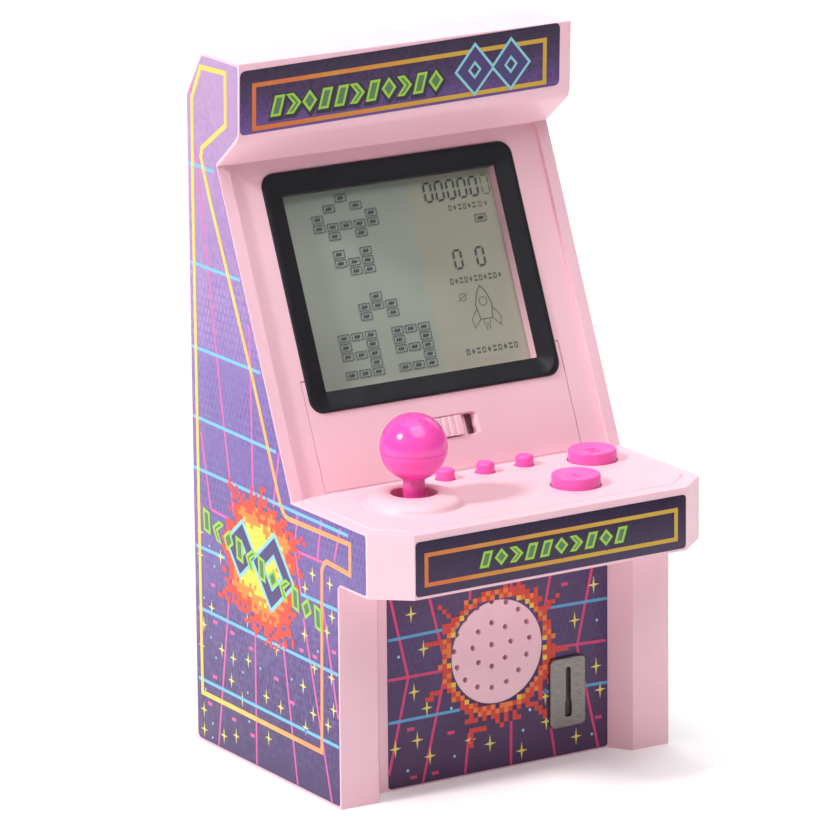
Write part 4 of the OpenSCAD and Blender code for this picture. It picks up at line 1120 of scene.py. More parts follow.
def sheet_of(outline, put, name, mat, slot, cad, cut=None, edge=0.05):
    """A label: outline in its own plane, edges eased."""
    flat = prism(outline, "Z", 0.0, LT)
    if cut:
        flat = csg(flat, ("-", cut))
    flat = rounded(flat, lambda m, a, b, c: edge if m.z > LT - 0.01 else 0.0, 2, 50)
    for v in flat.verts:
        v.co = put(v.co.x, v.co.y, v.co.z)
    bmesh.ops.recalc_face_normals(flat, faces=flat.faces)
    return new_piece(name, flat, mat, slot=slot, replaces=cad, sharp=50, weighted=False)


SIDE_LABEL = [(37.5, 1.4), (37.5, 140.1), (31.3, 149.4), (16.8, 149.4), (17.2, 135.2), (18.6, 133.6), (26.3, 127.4), (-1.8, 62.0), (-1.9, 61.0), (-31.2, 61.0), (-31.2, 48.4), (-21.2, 48.4), (-20.1, 47.4), (-20.1, 0.6), (36.7, 0.6)]


def round_corners(pts, r, n=4):
    out = []
    m = len(pts)
    for i in range(m):
        p, q, s = Vector(pts[i - 1]), Vector(pts[i]), Vector(pts[(i + 1) % m])
        d1, d2 = (p - q), (s - q)
        k = min(r, d1.length * 0.4, d2.length * 0.4)
        a, b = q + d1.normalized() * k, q + d2.normalized() * k
        for j in range(n + 1):
            t = j / n
            out.append(tuple((1 - t) ** 2 * a + 2 * t * (1 - t) * q + t * t * b))
    return out


SIDE_STOPS = [(0.0, (80, 62, 108)), (0.08, (92, 74, 124)), (0.17, (106, 88, 144)), (0.26, (118, 98, 160)), (0.42, (126, 106, 170)), (0.53, (136, 114, 178)), (0.63, (150, 124, 182)), (0.72, (166, 134, 182)), (0.86, (176, 142, 186)), (0.97, (182, 148, 190))]
LOWER_STOPS = [(0.0, (74, 50, 84)), (0.25, (77, 55, 96)), (0.5, (82, 62, 108)), (0.8, (80, 56, 90))]
MARQ_STOPS = [(0.0, (104, 74, 138)), (0.22, (90, 64, 118)), (0.42, (74, 53, 92)), (0.62, (60, 44, 72)), (0.85, (52, 38, 60))]
SIDE_PRINT = print_material("side_print", "z", SIDE_STOPS, 0.85, rows=(0.0, 150.0), dots=[(0.05, 0.1), (0.12, 0.5), (0.19, 0.45), (0.24, 0.08), (0.32, 0.12), (0.37, 0.5), (0.41, 0.3), (0.44, 0.06), (0.5, 0.42), (0.55, 0.3), (0.6, 0.0)], pale=[(0.5, 0.0), (0.56, 0.08), (0.61, 0.5), (0.67, 0.4), (0.72, 0.0)])
LOWER_PRINT = print_material("lower_print", "z", LOWER_STOPS, 1.1, rows=(0.0, 48.0), spread=0.2, dots=[(0.3, 0.1), (0.5, 0.5), (0.75, 0.35), (0.95, 0.55)])
MARQ_PRINT = print_material("marquee_print", "z", MARQ_STOPS, 0.75, rows=(135.0, 150.0), spread=0.25, dots=[(0.0, 0.25), (0.3, 0.6), (0.6, 0.2)], pitch=0.9)
CTRL_PRINT = print_material("control_print", "z", [(0.0, (60, 40, 76)), (0.3, (52, 36, 66)), (0.6, (46, 32, 58)), (0.85, (42, 30, 54))], 0.75, rows=(48.0, 60.5), spread=0.25, dots=[(0.0, 0.3), (0.5, 0.5), (1.0, 0.3)], pitch=0.9)

for s, nm, cad in ((-1, "side_print_left", "left_side_label"), (1, "side_print_right", "right_side_label")):
    sheet_of(round_corners(SIDE_LABEL, 0.6), on_side(s), nm, SIDE_PRINT, "side_print", cad)
hole = prism([(0.6 + 11.2 * math.cos(math.radians(a)), 25.9 + 11.2 * math.sin(math.radians(a))) for a in range(0, 360, 4)], "Z", -1, 1)
sheet_of(rrect(-26.3, 28.3, 0.4, 47.6, 0.8), on_lower, "lower_print_sheet", LOWER_PRINT, "lower_print", "lower_label", hole)
sheet_of(rrect(-33.05, 33.05, 48.5, 60.0, 0.8), on_control, "control_print_sheet", CTRL_PRINT, "front_print", "control_label")
# the marquee's sheet is a grid, since it wraps round the lower edge


def marquee_sheet():
    bm = bmesh.new()
    x0, x1, z0, z1, r = -40.45, 37.9, 135.75, 149.2, 1.2

    def bound(x, z):
        # pulls grid corners in to a rounded outline
        cx = min(max(x, x0 + r), x1 - r)
        cz = min(max(z, z0 + r), z1 - r)
        d = math.hypot(x - cx, z - cz)
        if d > r:
            x, z = cx + (x - cx) * r / d, cz + (z - cz) * r / d
        return x, z

    xs = [x0, x0 + 0.15, x0 + 0.4, x0 + 0.7] + [x0 + r + (x1 - x0 - 2 * r) * k / 40 for k in range(41)] + [x1 - 0.7, x1 - 0.4, x1 - 0.15, x1]
    zs = [z0, z0 + 0.15, z0 + 0.4, z0 + 0.7] + [z0 + r + (z1 - z0 - 2 * r) * k / 20 for k in range(21)] + [z1 - 0.7, z1 - 0.4, z1 - 0.15, z1]
    top, low = {}, {}
    for i, x in enumerate(xs):
        for j, z in enumerate(zs):
            bx, bz = bound(x, z)
            edge = i in (0, len(xs) - 1) or j in (0, len(zs) - 1)
            top[i, j] = bm.verts.new(on_marquee(bx, bz, LT - (0.03 if edge else 0.0)))
            low[i, j] = bm.verts.new(on_marquee(bx, bz, 0.0))
    for i in range(len(xs) - 1):
        for j in range(len(zs) - 1):
            bm.faces.new([top[i, j], top[i + 1, j], top[i + 1, j + 1], top[i, j + 1]])
            bm.faces.new([low[i, j + 1], low[i + 1, j + 1], low[i + 1, j], low[i, j]])
    edge = [(i, 0) for i in range(len(xs))] + [(len(xs) - 1, j) for j in range(1, len(zs))] + [(i, len(zs) - 1) for i in range(len(xs) - 2, -1, -1)] + [(0, j) for j in range(len(zs) - 2, 0, -1)]
    for a, b in zip(edge, edge[1:] + edge[:1]):
        bm.faces.new([low[a], low[b], top[b], top[a]])
    bmesh.ops.recalc_face_normals(bm, faces=bm.faces)
    return bm


new_piece("marquee_print_sheet", marquee_sheet(), MARQ_PRINT, slot="front_print", replaces="marquee_label", sharp=60, weighted=False)

# ------------------------------------------------------------------ print: inks and shapes
L0, L1, L2, L3, L4, L5 = [LT + 0.004 + 0.02 * k for k in range(6)]


def star(cx, cy, w=3.4, h=4.6, k=0.095):
    """Four-pointed sparkle."""
    out = []
    for i in range(4):
        a = math.pi / 2 * i
        out.append((cx + math.cos(a) * w / 2, cy + math.sin(a) * h / 2))
        b = a + math.pi / 4
        out.append((cx + math.cos(b) * w * k * 1.25, cy + math.sin(b) * h * k))
    return [out]


def disc(cx, cy, r, n=12):
    return [[(cx + r * math.cos(2 * math.pi * i / n), cy + r * math.sin(2 * math.pi * i / n)) for i in range(n)]]


def dash(cx, cy, w, h):
    return [[(cx - w / 2, cy - h / 2), (cx + w / 2, cy - h / 2), (cx + w / 2, cy + h / 2), (cx - w / 2, cy + h / 2)]]


def inside(p, poly):
    hit = False
    for (x0, y0), (x1, y1) in zip(poly, poly[1:] + poly[:1]):
        if (y0 > p[1]) != (y1 > p[1]) and p[0] < (x1 - x0) * (p[1] - y0) / (y1 - y0) + x0:
            hit = not hit
    return hit


def burst(poly, c, q, spikes=()):
    """Pixel blast: square cells from red at the ragged rim through orange to yellow in the middle."""
    red, orange, yellow = [], [], []
    used = set()
    r0 = max(math.dist(p, c) for p in poly)
    n = int(r0 / q) + 3
    for i in range(-n, n + 1):
        for j in range(-n, n + 1):
            u, v = c[0] + i * q, c[1] + j * q
            d = math.dist((u, v), c)
            t = 1.0
            while t > 0.05 and not inside((c[0] + (u - c[0]) / max(d, 1e-6) * r0 * t, c[1] + (v - c[1]) / max(d, 1e-6) * r0 * t), poly):
                t -= 0.03
            f = d / max(r0 * t, 0.1)
            f += (rnd.random() - 0.5) * 0.26
            if f < 0.56:
                out = yellow
            elif f < 0.78:
                out = orange
            elif f < 0.99 or (f < 1.12 and rnd.random() < 0.34):
                out = red
            else:
                continue
            used.add((i, j))
            out.append(dash(u, v, q * 0.98, q * 0.98)[0])
    for (x0, y0), (x1, y1) in spikes:
        m = max(2, int(math.dist((x0, y0), (x1, y1)) / q * 1.5))
        for k in range(m + 1):
            i, j = round((x0 + (x1 - x0) * k / m - c[0]) / q), round((y0 + (y1 - y0) * k / m - c[1]) / q)
            if (i, j) not in used:
                used.add((i, j))
                red.append(dash(c[0] + i * q, c[1] + j * q, q * 0.96, q * 0.96)[0])
    return red, orange, yellow


CYAN = ink("ink_cyan", (118, 190, 240))
PINK_INK = ink("ink_pink", (226, 98, 166))
STAR_INK = ink("ink_star", (238, 224, 116))
STAR_LOW = ink("ink_star_low", (226, 214, 96))
DOT_INK = ink("ink_dot", (150, 200, 240))
RED_INK = ink("ink_red", (238, 70, 44))
RED_LOW = ink("ink_red_low", (216, 58, 42))
ORANGE_INK = ink("ink_orange", (250, 136, 44))
ORANGE_LOW = ink("ink_orange_low", (232, 124, 46))
YELLOW_INK = ink("ink_yellow", (252, 216, 74))
YELLOW_LOW = ink("ink_yellow_low", (240, 200, 62))
GREEN_INK = ink("ink_green", (84, 122, 84))
LIME_INK = ink("ink_lime", (158, 204, 62))
DEEP_INK = ink("ink_deep", (70, 54, 112))
SHADE_INK = ink("ink_shade", (42, 32, 58))
PALE_INK = ink("ink_pale", (138, 204, 214))
FRAME_SIDE = ink("ink_frame_side", (255, 160, 100), c2=(255, 208, 96), axis=1, lo=-14.0, hi=34.0)
HOT_INK = ink("ink_hot", (214, 52, 112))
CYAN_DIM = ink("ink_cyan_dim", (86, 158, 204))
FRAME_HOT = ink("ink_frame_hot", (214, 112, 48), c2=(206, 164, 48), axis=0, lo=-44.0, hi=24.0)

SIDE_FRAME = [(31.6, 147.0), (21.6, 147.3), (21.8, 136.3), (31.6, 129.9), (32.1, 127.9), (28.7, 119.4), (12.3, 84.4), (1.7, 59.6), (0.4, 58.2), (-1.0, 57.7), (-25.4, 57.9), (-25.3, 51.5), (-16.2, 52.1), (-15.1, 51.4), (-14.3, 49.9), (-13.4, 10.6), (35.3, 11.0), (35.7, 118.0), (35.4, 140.0)]
SIDE_CYAN = [[(38.3, 125.7), (26.8, 125.7)], [(37.8, 104.6), (16.9, 104.6)], [(37.2, 86.5), (9.2, 86.5)], [(37.5, 71.4), (3.4, 70.9)], [(37.3, 60.2), (-24.7, 59.6)], [(37.1, 43.1), (25.0, 43.1)], [(-5.8, 42.7), (-20.4, 42.7)], [(36.3, 29.6), (-20.1, 28.9)], [(36.8, 13.9), (-20.1, 13.4)]]
SIDE_PINK = [[(35.8, 142.2), (35.5, 139.9)], [(34.5, 130), (32.2, 118.7), (25.5, 77.2), (21, 53.2)], [(13.5, 95.6), (13, 59.3)], [(34.1, 68.4), (30.5, 52.3)], [(2.2, 71), (4.9, 58.8)], [(-4.9, 59.8), (-3.5, 52), (-5.8, 42.7)], [(-14.2, 60.6), (-12.4, 51.1)], [(-21.6, 60.4), (-19.1, 53)], [(23.6, 34.2), (28.9, 0.8)], [(13, 31.8), (13.1, 0.8)], [(1.7, 30.5), (-3.5, 0.8)], [(-6.7, 37.8), (-17.1, 0.8)], [(-14.5, 41.9), (-20.0, 19.4)], [(30.1, 52.4), (23, 52)], [(-4.1, 51.5), (-14.4, 51.6)]]
SIDE_BURST = [(19.3, 59.5), (17.6, 57.7), (13.0, 58.8), (8.5, 58.9), (4.6, 58.3), (1.0, 56.1), (-4.3, 53.5), (-4.1, 47.7), (-1.6, 36.6), (2.2, 31.1), (7.6, 30.9), (12.2, 31.0), (18.4, 33.8), (24.7, 36.2), (23.9, 42.5), (23.4, 50.0), (21.2, 53.8)]
SIDE_STARS = [(30.9, 30.8), (26.9, 22.5), (22.2, 21.8), (16.0, 22.9), (23.1, 16.7), (18.7, 13.7), (8.8, 16.8), (3.0, 16.0), (4.4, 28.3), (16.1, 31.6), (-7.5, 44.4), (-10.5, 48.1), (-17.3, 47.6), (-7.0, 34.3), (-16.0, 37.1), (-18.0, 40.8), (-10.8, 28.1), (-17.5, 27.6), (-6.2, 23.0), (-10.1, 18.0), (-7.0, 14.2), (-16.0, 17.0), (-18.2, 20.9), (34.8, 7.3), (34.8, 2.9), (26.6, 3.6), (21.5, 4.9), (8.1, 7.9), (35.3, 21.4), (34.3, 26.3), (26.8, 42.9), (35.1, 46.5), (35.3, 41.4)]
SIDE_DOTS = [(31.4, 24.1), (29.4, 20.1), (18.3, 19.7), (11.1, 22.4), (-0.7, 33.2), (-1.6, 23.3), (-12.3, 32.0), (16.4, 15.7), (16.0, 9.5), (31.2, 5.1), (31.4, 1.9), (33.9, 32.2), (29.4, 40.2), (34.0, 12.0), (31.4, 44.2)]
SIDE_DASHES = [(30.2, 35.9), (29.5, 27.9), (22.4, 27.3), (14.8, 25.8), (4.6, 21.8), (30.0, 15.7), (32.2, 9.2), (22.3, 8.3), (-1.7, 18.2), (-5.7, 30.6), (-11.0, 30.5), (-18.6, 33.4), (14.7, 6.8), (35.6, 52.0)]


def side_clip(pts):
    return [(min(max(u, -31.0), 37.3), v) for u, v in pts]


def tilted(shapes, c, ang, k=1.0):
    ca, sa = math.cos(math.radians(ang)), math.sin(math.radians(ang))
    out = []
    for p in shapes:
        f = lambda q: [(c[0] + k * (u * ca - v * sa), c[1] + k * (u * sa + v * ca)) for u, v in q]
        out.append(("ring", f(p[1]), f(p[2])) if p[0] == "ring" else f(p))
    return out


def glyph(kind, w, h):
    """Generic filler marks, not letters: chevron, diamond, slanted bar, triangle."""
    if kind == 0:
        return [[(-w / 2, -h / 2), (-w * 0.05, -h / 2), (w / 2, 0), (-w * 0.05, h / 2), (-w / 2, h / 2), (w * 0.05, 0)]]
    if kind == 1:
        return [[(0, -h / 2), (w / 2, 0), (0, h / 2), (-w / 2, 0)]]
    if kind == 2:
        return [[(-w / 2, -h / 2), (w * 0.15, -h / 2), (w / 2, h / 2), (-w * 0.15, h / 2)]]
    return [[(-w / 2, -h / 2), (w / 2, -h / 2), (0, h / 2)]]


def grown(poly, d):
    """The outline pushed out by d along its corners' bisectors."""
    n = len(poly)
    area = sum(a[0] * b[1] - b[0] * a[1] for a, b in zip(poly, poly[1:] + poly[:1]))
    s = 1 if area > 0 else -1
    out = []
    for i in range(n):
        p, q, r = Vector(poly[i - 1]), Vector(poly[i]), Vector(poly[(i + 1) % n])
        e1, e2 = (q - p).normalized(), (r - q).normalized()
        n1, n2 = Vector((e1.y, -e1.x)) * s, Vector((e2.y, -e2.x)) * s
        b = n1 + n2
        b = b / max(b.length_squared / 2, 0.5)
        out.append(tuple(q + b * d))
    return out


def side_print(s, tag):
    put = on_side(s)
    cad = "side_print"
    kw = dict(slot=cad, sharp=30, weighted=False)
    red, orange, yellow = burst(SIDE_BURST, (9.6, 45.6), 1.0, (((9.6, 58.0), (9.3, 62.1)), ((7.4, 32.0), (7.0, 28.5)), ((23.0, 36.8), (27.2, 34.6)), ((-3, 52.5), (-6.6, 54.6)), ((20.5, 57.5), (23.0, 60.6)), ((0.2, 34.6), (-2.8, 30.6))))
    new_piece("print_pink_lines_" + tag, slab([q for p in SIDE_PINK for q in stroke(side_clip(p), 0.6)] + [q for p in SIDE_DASHES for q in dash(*p, 1.7, 0.75)], put, LT - 0.02, L0), PINK_INK, **kw)
    new_piece("print_cyan_lines_" + tag, slab([q for p in SIDE_CYAN for q in stroke(side_clip(p), 0.72)], put, LT - 0.02, L1), CYAN, **kw)
    new_piece("print_stars_" + tag, slab([q for p in SIDE_STARS for q in star(*p, 2.9, 3.5)], put, LT - 0.02, L1), STAR_INK, **kw)
    new_piece("print_dots_" + tag, slab([q for p in SIDE_DOTS for q in disc(*p, 0.3)], put, LT - 0.02, L1 + 0.01), DOT_INK, **kw)
    new_piece("print_frame_" + tag, slab(stroke(SIDE_FRAME, 1.05, True), put, LT - 0.02, L2), FRAME_SIDE, **kw)
    new_piece("print_burst_red_" + tag, slab(red, put, LT - 0.02, L2 + 0.012, 0.0004), RED_INK, **kw)
    new_piece("print_burst_orange_" + tag, slab(orange, put, LT - 0.02, L3, 0.0004), ORANGE_INK, **kw)
    new_piece("print_burst_yellow_" + tag, slab(yellow, put, LT - 0.02, L3 + 0.006, 0.0004), YELLOW_INK, **kw)
    # emblem: a stepped diamond badge, plain geometry only
    c = (9.7, 44.6)
    badge = [(-13.6, 0.6), (-9.6, 6.4), (-3.2, 9.2), (3.2, 8.6), (9.6, 6.8), (13.6, 1.0), (11.4, -5.0), (5.2, -8.6), (-2.4, -9.4), (-9.0, -6.6)]
    big = tilted([[(-12.2, 0.4), (-4.4, 8.2), (3.4, 0.4), (-4.4, -7.4)]], c, 6)
    big_in = tilted([[(-8.6, 0.4), (-4.4, 4.6), (-0.2, 0.4), (-4.4, -3.8)]], c, 6)
    small = tilted([[(3.0, 1.2), (8.6, 6.8), (14.2, 1.2), (8.6, -4.4)]], c, 6)
    small_in = tilted([[(6.4, 1.2), (8.6, 3.4), (10.8, 1.2), (8.6, -1.0)]], c, 6)
    for nm, shapes, mat, h in (
        ("pale", [("ring", grown(big[0], 0.85), grown(big_in[0], -0.75)), ("ring", grown(small[0], 0.85), grown(small_in[0], -0.7))], PALE_INK, L4),
        ("deep", [("ring", big[0], big_in[0]), ("ring", small[0], small_in[0])], DEEP_INK, L4 + 0.012),
    ):
        new_piece("print_emblem_" + nm + "_" + tag, slab(shapes, put, LT - 0.02, h, 0.0005), mat, **kw)
    # strip of green marks under it, running downhill to the player
    line0, line1 = Vector((34.4, 50.0)), Vector((-14.9, 38.6))
    d = (line1 - line0).normalized()
    out, core = [], []
    kinds = [2, 0, 1, 2, 0, 2, 1, 0, 2, 1, 2]
    for k, kind in enumerate(kinds):
        p = line0 + (line1 - line0) * ((k + 0.5) / len(kinds))
        ang = math.degrees(math.atan2(d.y, d.x)) + 180
        g = tilted(glyph(kind, 3.7, 4.3), p, ang)
        core += g
        out += [("ring", grown(q, 0.22), grown(q, -0.42)) for q in g]
    new_piece("print_strip_lime_" + tag, slab(out, put, LT - 0.02, L5 + 0.02, 0.0005), LIME_INK, **kw)
    new_piece("print_strip_green_" + tag, slab(core, put, LT - 0.02, L4 + 0.024, 0.0005), GREEN_INK, **kw)


side_print(-1, "left")
side_print(1, "right")

# ------------------------------------------------------------------ lower label's print
LOW_CYAN = [[(-26.1, 32.7), (-9, 32.9)], [(10.6, 33.3), (28.2, 33)], [(-26.2, 14.8), (-8.7, 14.8)], [(10.8, 15.1), (28.2, 14.5)]]
LOW_PINK = [[(-26.2, 24.1), (-13, 24)], [(14.3, 24.4), (27.9, 23.8)], [(-26.1, 44.0), (-25.3, 40.7), (-21.3, 23.9), (-26.2, 3.6)], [(-17.9, 47.4), (-15.8, 39.6), (-12.3, 26)], [(-12.8, 21.4), (-17.9, 0.6)], [(-7.0, 47.4), (-6, 39.9), (-6, 38.2)], [(-6.5, 9.3), (-7.5, 0.6)], [(4.1, 37.6), (4.6, 47.4)], [(4, 10.1), (3.9, 0.6)], [(16.0, 47.4), (13.9, 40.2), (12.3, 32.6)], [(13.8, 7.8), (15, 0.6)], [(26.2, 47.4), (24.4, 40.2), (20.6, 23.8), (25.9, 0.6)]]
LOW_STARS = [(25.4, 18.5), (26.4, 13.2), (20.3, 3.9), (12.6, 14.0), (12.8, 8.5), (6.6, 3.2), (-1.3, 6.1), (-6.2, 7.8), (-16.1, 6.0), (-19.2, 10.0), (-24.6, 9.0), (-16.8, 16.6), (-19.9, 20.6), (-17.5, 29.5), (-20.5, 37.5), (20.0, 29.5), (24.8, 36.5), (-11.8, 43.5), (9.8, 44.0), (20.6, 43.6)]
LOW_DOTS = [(8.7, 11.8), (7.0, 7.6), (-10.1, 4.9), (-21.6, 3.8), (24.3, 3.7), (-10.8, 15.5), (-23.6, 28.8), (25.6, 28.6)]
LOW_DASH = [(-20.8, 12.7), (-10.9, 10.2), (-14.9, 2.1), (-20.2, 2.1), (26.0, 7.2), (-14.5, 44.6), (17.5, 37.8)]
LOW_BURST = [(9.6, 39.8), (3.2, 39.2), (-1.2, 39.1), (-4.0, 38.6), (-7.8, 35.9), (-13.1, 33.5), (-13.2, 26.8), (-13.4, 21.6), (-11.8, 18.0), (-8.0, 14.3), (-7.3, 8.8), (-1.4, 9.5), (3.4, 9.3), (6.8, 10.7), (9.9, 12.5), (13.4, 16.0), (14.9, 22.1), (15.1, 26.1), (14.2, 29.9), (12.3, 33.9)]
BR_C = (0.6, 25.9)


def cut_stroke(pts, w, c, r):
    """A line, left out where it would enter the circle."""
    out, run = [], []
    fine = []
    for a, b in zip(pts, pts[1:]):
        m = max(1, int(math.dist(a, b) / 0.4))
        fine += [(a[0] + (b[0] - a[0]) * k / m, a[1] + (b[1] - a[1]) * k / m) for k in range(m)]
    fine.append(pts[-1])
    for p in fine:
        if math.dist(p, c) > r:
            run.append(p)
        else:
            if len(run) > 1:
                out += stroke([run[0], run[-1]] if len(run) < 3 else run, w)
            run = []
    if len(run) > 1:
        out += stroke(run, w)
    return out


kw = dict(slot="lower_print", sharp=30, weighted=False)
red, orange, yellow = [], [], []
q = 1.08
used = set()
for i in range(-16, 17):
    for j in range(-16, 17):
        u, v = BR_C[0] + i * q, BR_C[1] + j * q
        if math.hypot(u - BR_C[0], v - BR_C[1]) < 11.25 + q * 0.62 or not -25.4 < u < 27.4:
            continue
        d = math.dist((u, v), BR_C)
        f = (d - 11.3) / 3.2 + (rnd.random() - 0.5) * 0.55
        if (inside((u, v), LOW_BURST) and (f < 0.85 or rnd.random() < 0.6)) or (f < 0.75 and rnd.random() < 0.5):
            used.add((i, j))
            (yellow if f < 0.2 and rnd.random() < 0.5 else orange if f < 0.25 or (f < 0.7 and (i + j) % 2 == 0) else red).append(dash(u, v, q * 0.97, q * 0.97)[0])
rays = [((5.5, 38.5), (6.4, 43.4)), ((-10.5, 35.0), (-13.6, 38.2)), ((-12.6, 20.0), (-16.8, 18.6)), ((-5.0, 10.2), (-6.2, 6.4)), ((9.8, 13.0), (12.4, 10.0)), ((14.8, 24.0), (18.4, 23.2)), ((12.6, 33.0), (16.2, 36.0)), ((-12.9, 29.5), (-16.9, 30.6))]
for (x0, y0), (x1, y1) in rays:
    for k in range(7):
        i, j = round((x0 + (x1 - x0) * k / 6 - BR_C[0]) / q), round((y0 + (y1 - y0) * k / 6 - BR_C[1]) / q)
        if (i, j) not in used and math.hypot(i * q, j * q) > 11.25 + q * 0.62:
            used.add((i, j))
            red.append(dash(BR_C[0] + i * q, BR_C[1] + j * q, q * 0.9, q * 0.9)[0])
new_piece("lower_pink_lines", slab([z for p in LOW_PINK for z in cut_stroke(p, 0.62, BR_C, 11.3)] + [z for p in LOW_DASH for z in dash(*p, 1.7, 0.7)], on_lower, LT - 0.02, L0), HOT_INK, **kw)
new_piece("lower_cyan_lines", slab([z for p in LOW_CYAN for z in cut_stroke([(min(max(a, -26.2), 28.2), b) for a, b in p], 0.66, BR_C, 11.3)], on_lower, LT - 0.02, L1), CYAN_DIM, **kw)
new_piece("lower_stars", slab([z for p in LOW_STARS for z in star(*p, 2.9, 3.9)], on_lower, LT - 0.02, L1), STAR_LOW, **kw)
new_piece("lower_dots", slab([z for p in LOW_DOTS for z in disc(*p, 0.32)], on_lower, LT - 0.02, L1 + 0.01), DOT_INK, **kw)
new_piece("lower_burst_red", slab(red, on_lower, LT - 0.02, L2, 0.0004), RED_LOW, **kw)
new_piece("lower_burst_orange", slab(orange, on_lower, LT - 0.02, L2 + 0.006, 0.0004), ORANGE_LOW, **kw)
new_piece("lower_burst_yellow", slab(yellow, on_lower, LT - 0.02, L2 + 0.012, 0.0004), YELLOW_LOW, **kw)

# ------------------------------------------------------------------ marquee and control label's print
kw = dict(slot="front_print", sharp=30, weighted=False)


def dense(poly, step=1.2):
    """Corners added along each edge so that the outline can follow a bent sheet."""
    out = []
    for a, b in zip(poly, poly[1:] + poly[:1]):
        m = max(1, int(math.dist(a, b) / step))
        out += [(a[0] + (b[0] - a[0]) * k / m, a[1] + (b[1] - a[1]) * k / m) for k in range(m)]
    return out


def bent_frame(x0, x1, z0, z1, w):
    """Rectangular frame cut into short lengths."""
    out = dense([(x0, z0), (x1, z0), (x1, z1), (x0, z1)], 1.0)
    k = [(x1 - x0 - 2 * w) / (x1 - x0), (z1 - z0 - 2 * w) / (z1 - z0)]
    cx, cz = (x0 + x1) / 2, (z0 + z1) / 2
    return [("ring", out, [(cx + (u - cx) * k[0], cz + (v - cz) * k[1]) for u, v in out])]


new_piece("marquee_frame", slab(bent_frame(-37.6, 34.6, 136.35, 146.45, 0.95), on_marquee, LT - 0.02, L1), FRAME_HOT, **kw)
core, lime, dark = [], [], []
kinds = [2, 0, 1, 2, 2, 0, 2, 1, 0, 2, 1]
xs0, xs1 = -33.4, 8.9
for k, kind in enumerate(kinds):
    x = xs0 + (xs1 - xs0) * (k + 0.5) / len(kinds)
    g = tilted(glyph(kind, 3.0, 3.9), (x, 140.95), 0)
    core += g
    lime += [("ring", grown(z, 0.25), grown(z, -0.3)) for z in g]
    dark += shifted([grown(z, 0.8) for z in g], 0.25, -0.35)
new_piece("marquee_marks_dark", slab(dark, on_marquee, LT - 0.02, L1 + 0.01, 0.0005), SHADE_INK, **kw)
new_piece("marquee_marks_lime", slab(lime, on_marquee, LT - 0.02, L2, 0.0005), LIME_INK, **kw)
new_piece("marquee_marks_green", slab(core, on_marquee, LT - 0.02, L1 + 0.018, 0.0005), GREEN_INK, **kw)
pale, deep = [], []
for cx in (16.6, 25.6):
    a = [(cx - 4.3, 141.9), (cx, 147.0), (cx + 4.3, 141.9), (cx, 137.1)]
    b = [(cx - 1.7, 141.9), (cx, 143.9), (cx + 1.7, 141.9), (cx, 139.9)]
    deep.append(("ring", a, b))
    pale.append(("ring", grown(a, 0.55), grown(b, -0.5)))
new_piece("marquee_badge_pale", slab(pale, on_marquee, LT - 0.02, L3, 0.0005), PALE_INK, **kw)
new_piece("marquee_badge_deep", slab(deep, on_marquee, LT - 0.02, L3 + 0.012, 0.0005), DEEP_INK, **kw)

new_piece("control_frame", slab(ring([(-31.0, 50.3), (31.0, 50.3), (31.0, 57.5), (-31.0, 57.5)], [(-30.1, 51.2), (30.1, 51.2), (30.1, 56.6), (-30.1, 56.6)]), on_control, LT - 0.02, L1), FRAME_HOT, **kw)
core, lime, dark = [], [], []
kinds = [2, 1, 0, 2, 2, 1, 0, 2, 1, 2]
for k, kind in enumerate(kinds):
    x = -18.0 + 36.6 * (k + 0.5) / len(kinds)
    g = tilted(glyph(kind, 2.75, 3.0), (x, 53.9), 0)
    core += g
    lime += [("ring", grown(z, 0.22), grown(z, -0.3)) for z in g]
    dark += shifted([grown(z, 0.75) for z in g], 0.2, -0.3)
new_piece("control_marks_dark", slab(dark, on_control, LT - 0.02, L1 + 0.01, 0.0005), SHADE_INK, **kw)
new_piece("control_marks_lime", slab(lime, on_control, LT - 0.02, L2, 0.0005), LIME_INK, **kw)
new_piece("control_marks_green", slab(core, on_control, LT - 0.02, L1 + 0.018, 0.0005), GREEN_INK, **kw)

# ------------------------------------------------------------------ floor, light, camera
GLOW = 0.03


def stage_material(name, c, rough):
    t = Tree(name)
    co = t.coords()
    n = t.noise(co, 30, 3.0)
    c = lin(c)
    return t.done(t.ramp(n, [(0.3, shade(c, 0.992)), (0.7, shade(c, 1.0))]), t.spread(n, rough - 0.04, rough + 0.04), t.bump(t.noise(co, 900, 2.0), 0.05, 2e-5), Emission_Color=(1, 1, 1, 1), Emission_Strength=GLOW)


AZ = math.radians(-31.978)
bm = bmesh.new()
rim = [bm.verts.new((3.2 * math.cos(2 * math.pi * i / 64), 3.2 * math.sin(2 * math.pi * i / 64), 0.0)) for i in range(64)]
bm.faces.new(rim)
me = bpy.data.meshes.new("floor")
bm.to_mesh(me)
bm.free()
me.materials.append(stage_material("backdrop", (252, 252, 252), 0.7))
floor = bpy.data.objects.new("floor", me)
bpy.context.scene.collection.objects.link(floor)
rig.stage(floor)


def area(name, loc, at, size, power, colour=(1, 1, 1), size_y=None):
    d = bpy.data.lights.new(name, "AREA")
    d.energy = power
    d.color = colour
    d.size = size
    if size_y:
        d.shape = "RECTANGLE"
        d.size_y = size_y
    o = bpy.data.objects.new(name, d)
    o.location = loc
    o.rotation_euler = (Vector(at) - Vector(loc)).to_track_quat("-Z", "Y").to_euler()
    bpy.context.scene.collection.objects.link(o)
    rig.stage(o)
    return o


MID = Vector((0, 0, 0.075))


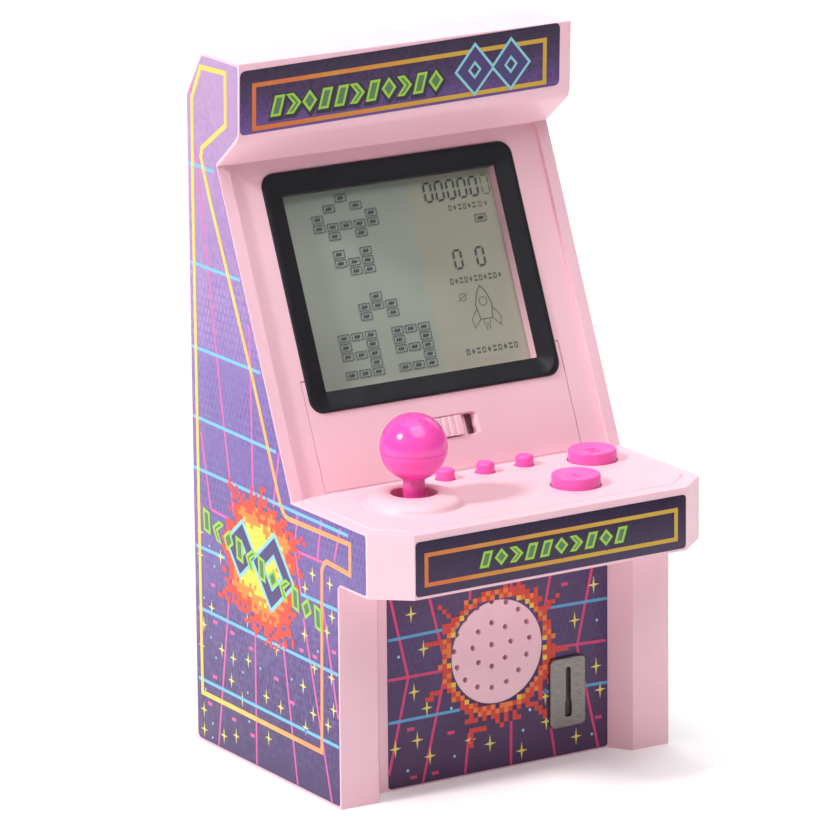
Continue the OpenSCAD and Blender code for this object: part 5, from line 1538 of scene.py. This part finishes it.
def aim(name, d, far, size, power, colour=(1, 1, 1)):
    return area(name, MID + Vector(d).normalized() * far, MID, size, power, colour)


aim("key", (-0.783, 0.03, 0.616), 1.1, 0.14, 8.8)
aim("top", (0.0, 0.08, 1.0), 1.2, 0.9, 3.4)
aim("front_high", (0.0, -0.44, 0.9), 1.3, 0.9, 10.6)
aim("right_back", (0.8, 0.35, 0.45), 1.1, 0.5, 0.8)
aim("back", (0.0, 0.7, 0.75), 1.2, 0.6, 4.3)
area("floor_light", (0.45, 0.95, 0.75), (0.45, 0.9501, 0.0), 1.3, 7.8)

w = bpy.context.scene.world or bpy.data.worlds.new("world")
bpy.context.scene.world = w
w.use_nodes = True
w.node_tree.nodes["Background"].inputs[0].default_value = (1, 1, 1, 1)
w.node_tree.nodes["Background"].inputs[1].default_value = 0.05

el, roll, dist, f, px, py = math.radians(14.884), math.radians(-0.523), 1.32528, 6355.73, 410.576, 430.865
back = Vector((math.sin(AZ) * math.cos(el), -math.cos(AZ) * math.cos(el), math.sin(el)))
right = Vector((math.cos(AZ), math.sin(AZ), 0))
up = back.cross(right)
r2 = math.cos(roll) * right + math.sin(roll) * up
u2 = -math.sin(roll) * right + math.cos(roll) * up
C = Vector((-0.008279, 0.00312, 0.07066)) + back * dist
cam = bpy.data.cameras.new("camera")
cam.sensor_width = 36
cam.lens = f * 36 / 819
cam.shift_x = (409.5 - px) / 819
cam.shift_y = (py - 409.5) / 819
cam.clip_start = 0.05
cam.clip_end = 20
co = bpy.data.objects.new("camera", cam)
m = Matrix.Identity(4)
for i in range(3):
    m[i][0], m[i][1], m[i][2], m[i][3] = r2[i], u2[i], back[i], C[i]
co.matrix_world = m
bpy.context.scene.collection.objects.link(co)
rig.stage(co)
bpy.context.scene.camera = co
bpy.context.scene.view_settings.view_transform = "Standard"

VIS_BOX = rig.bounds()
try:
    with open("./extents.json", "w") as out:
        json.dump({"cad": [list(v) for v in CAD_BOX], "visual": [list(v) for v in VIS_BOX]}, out)
except OSError:
    pass
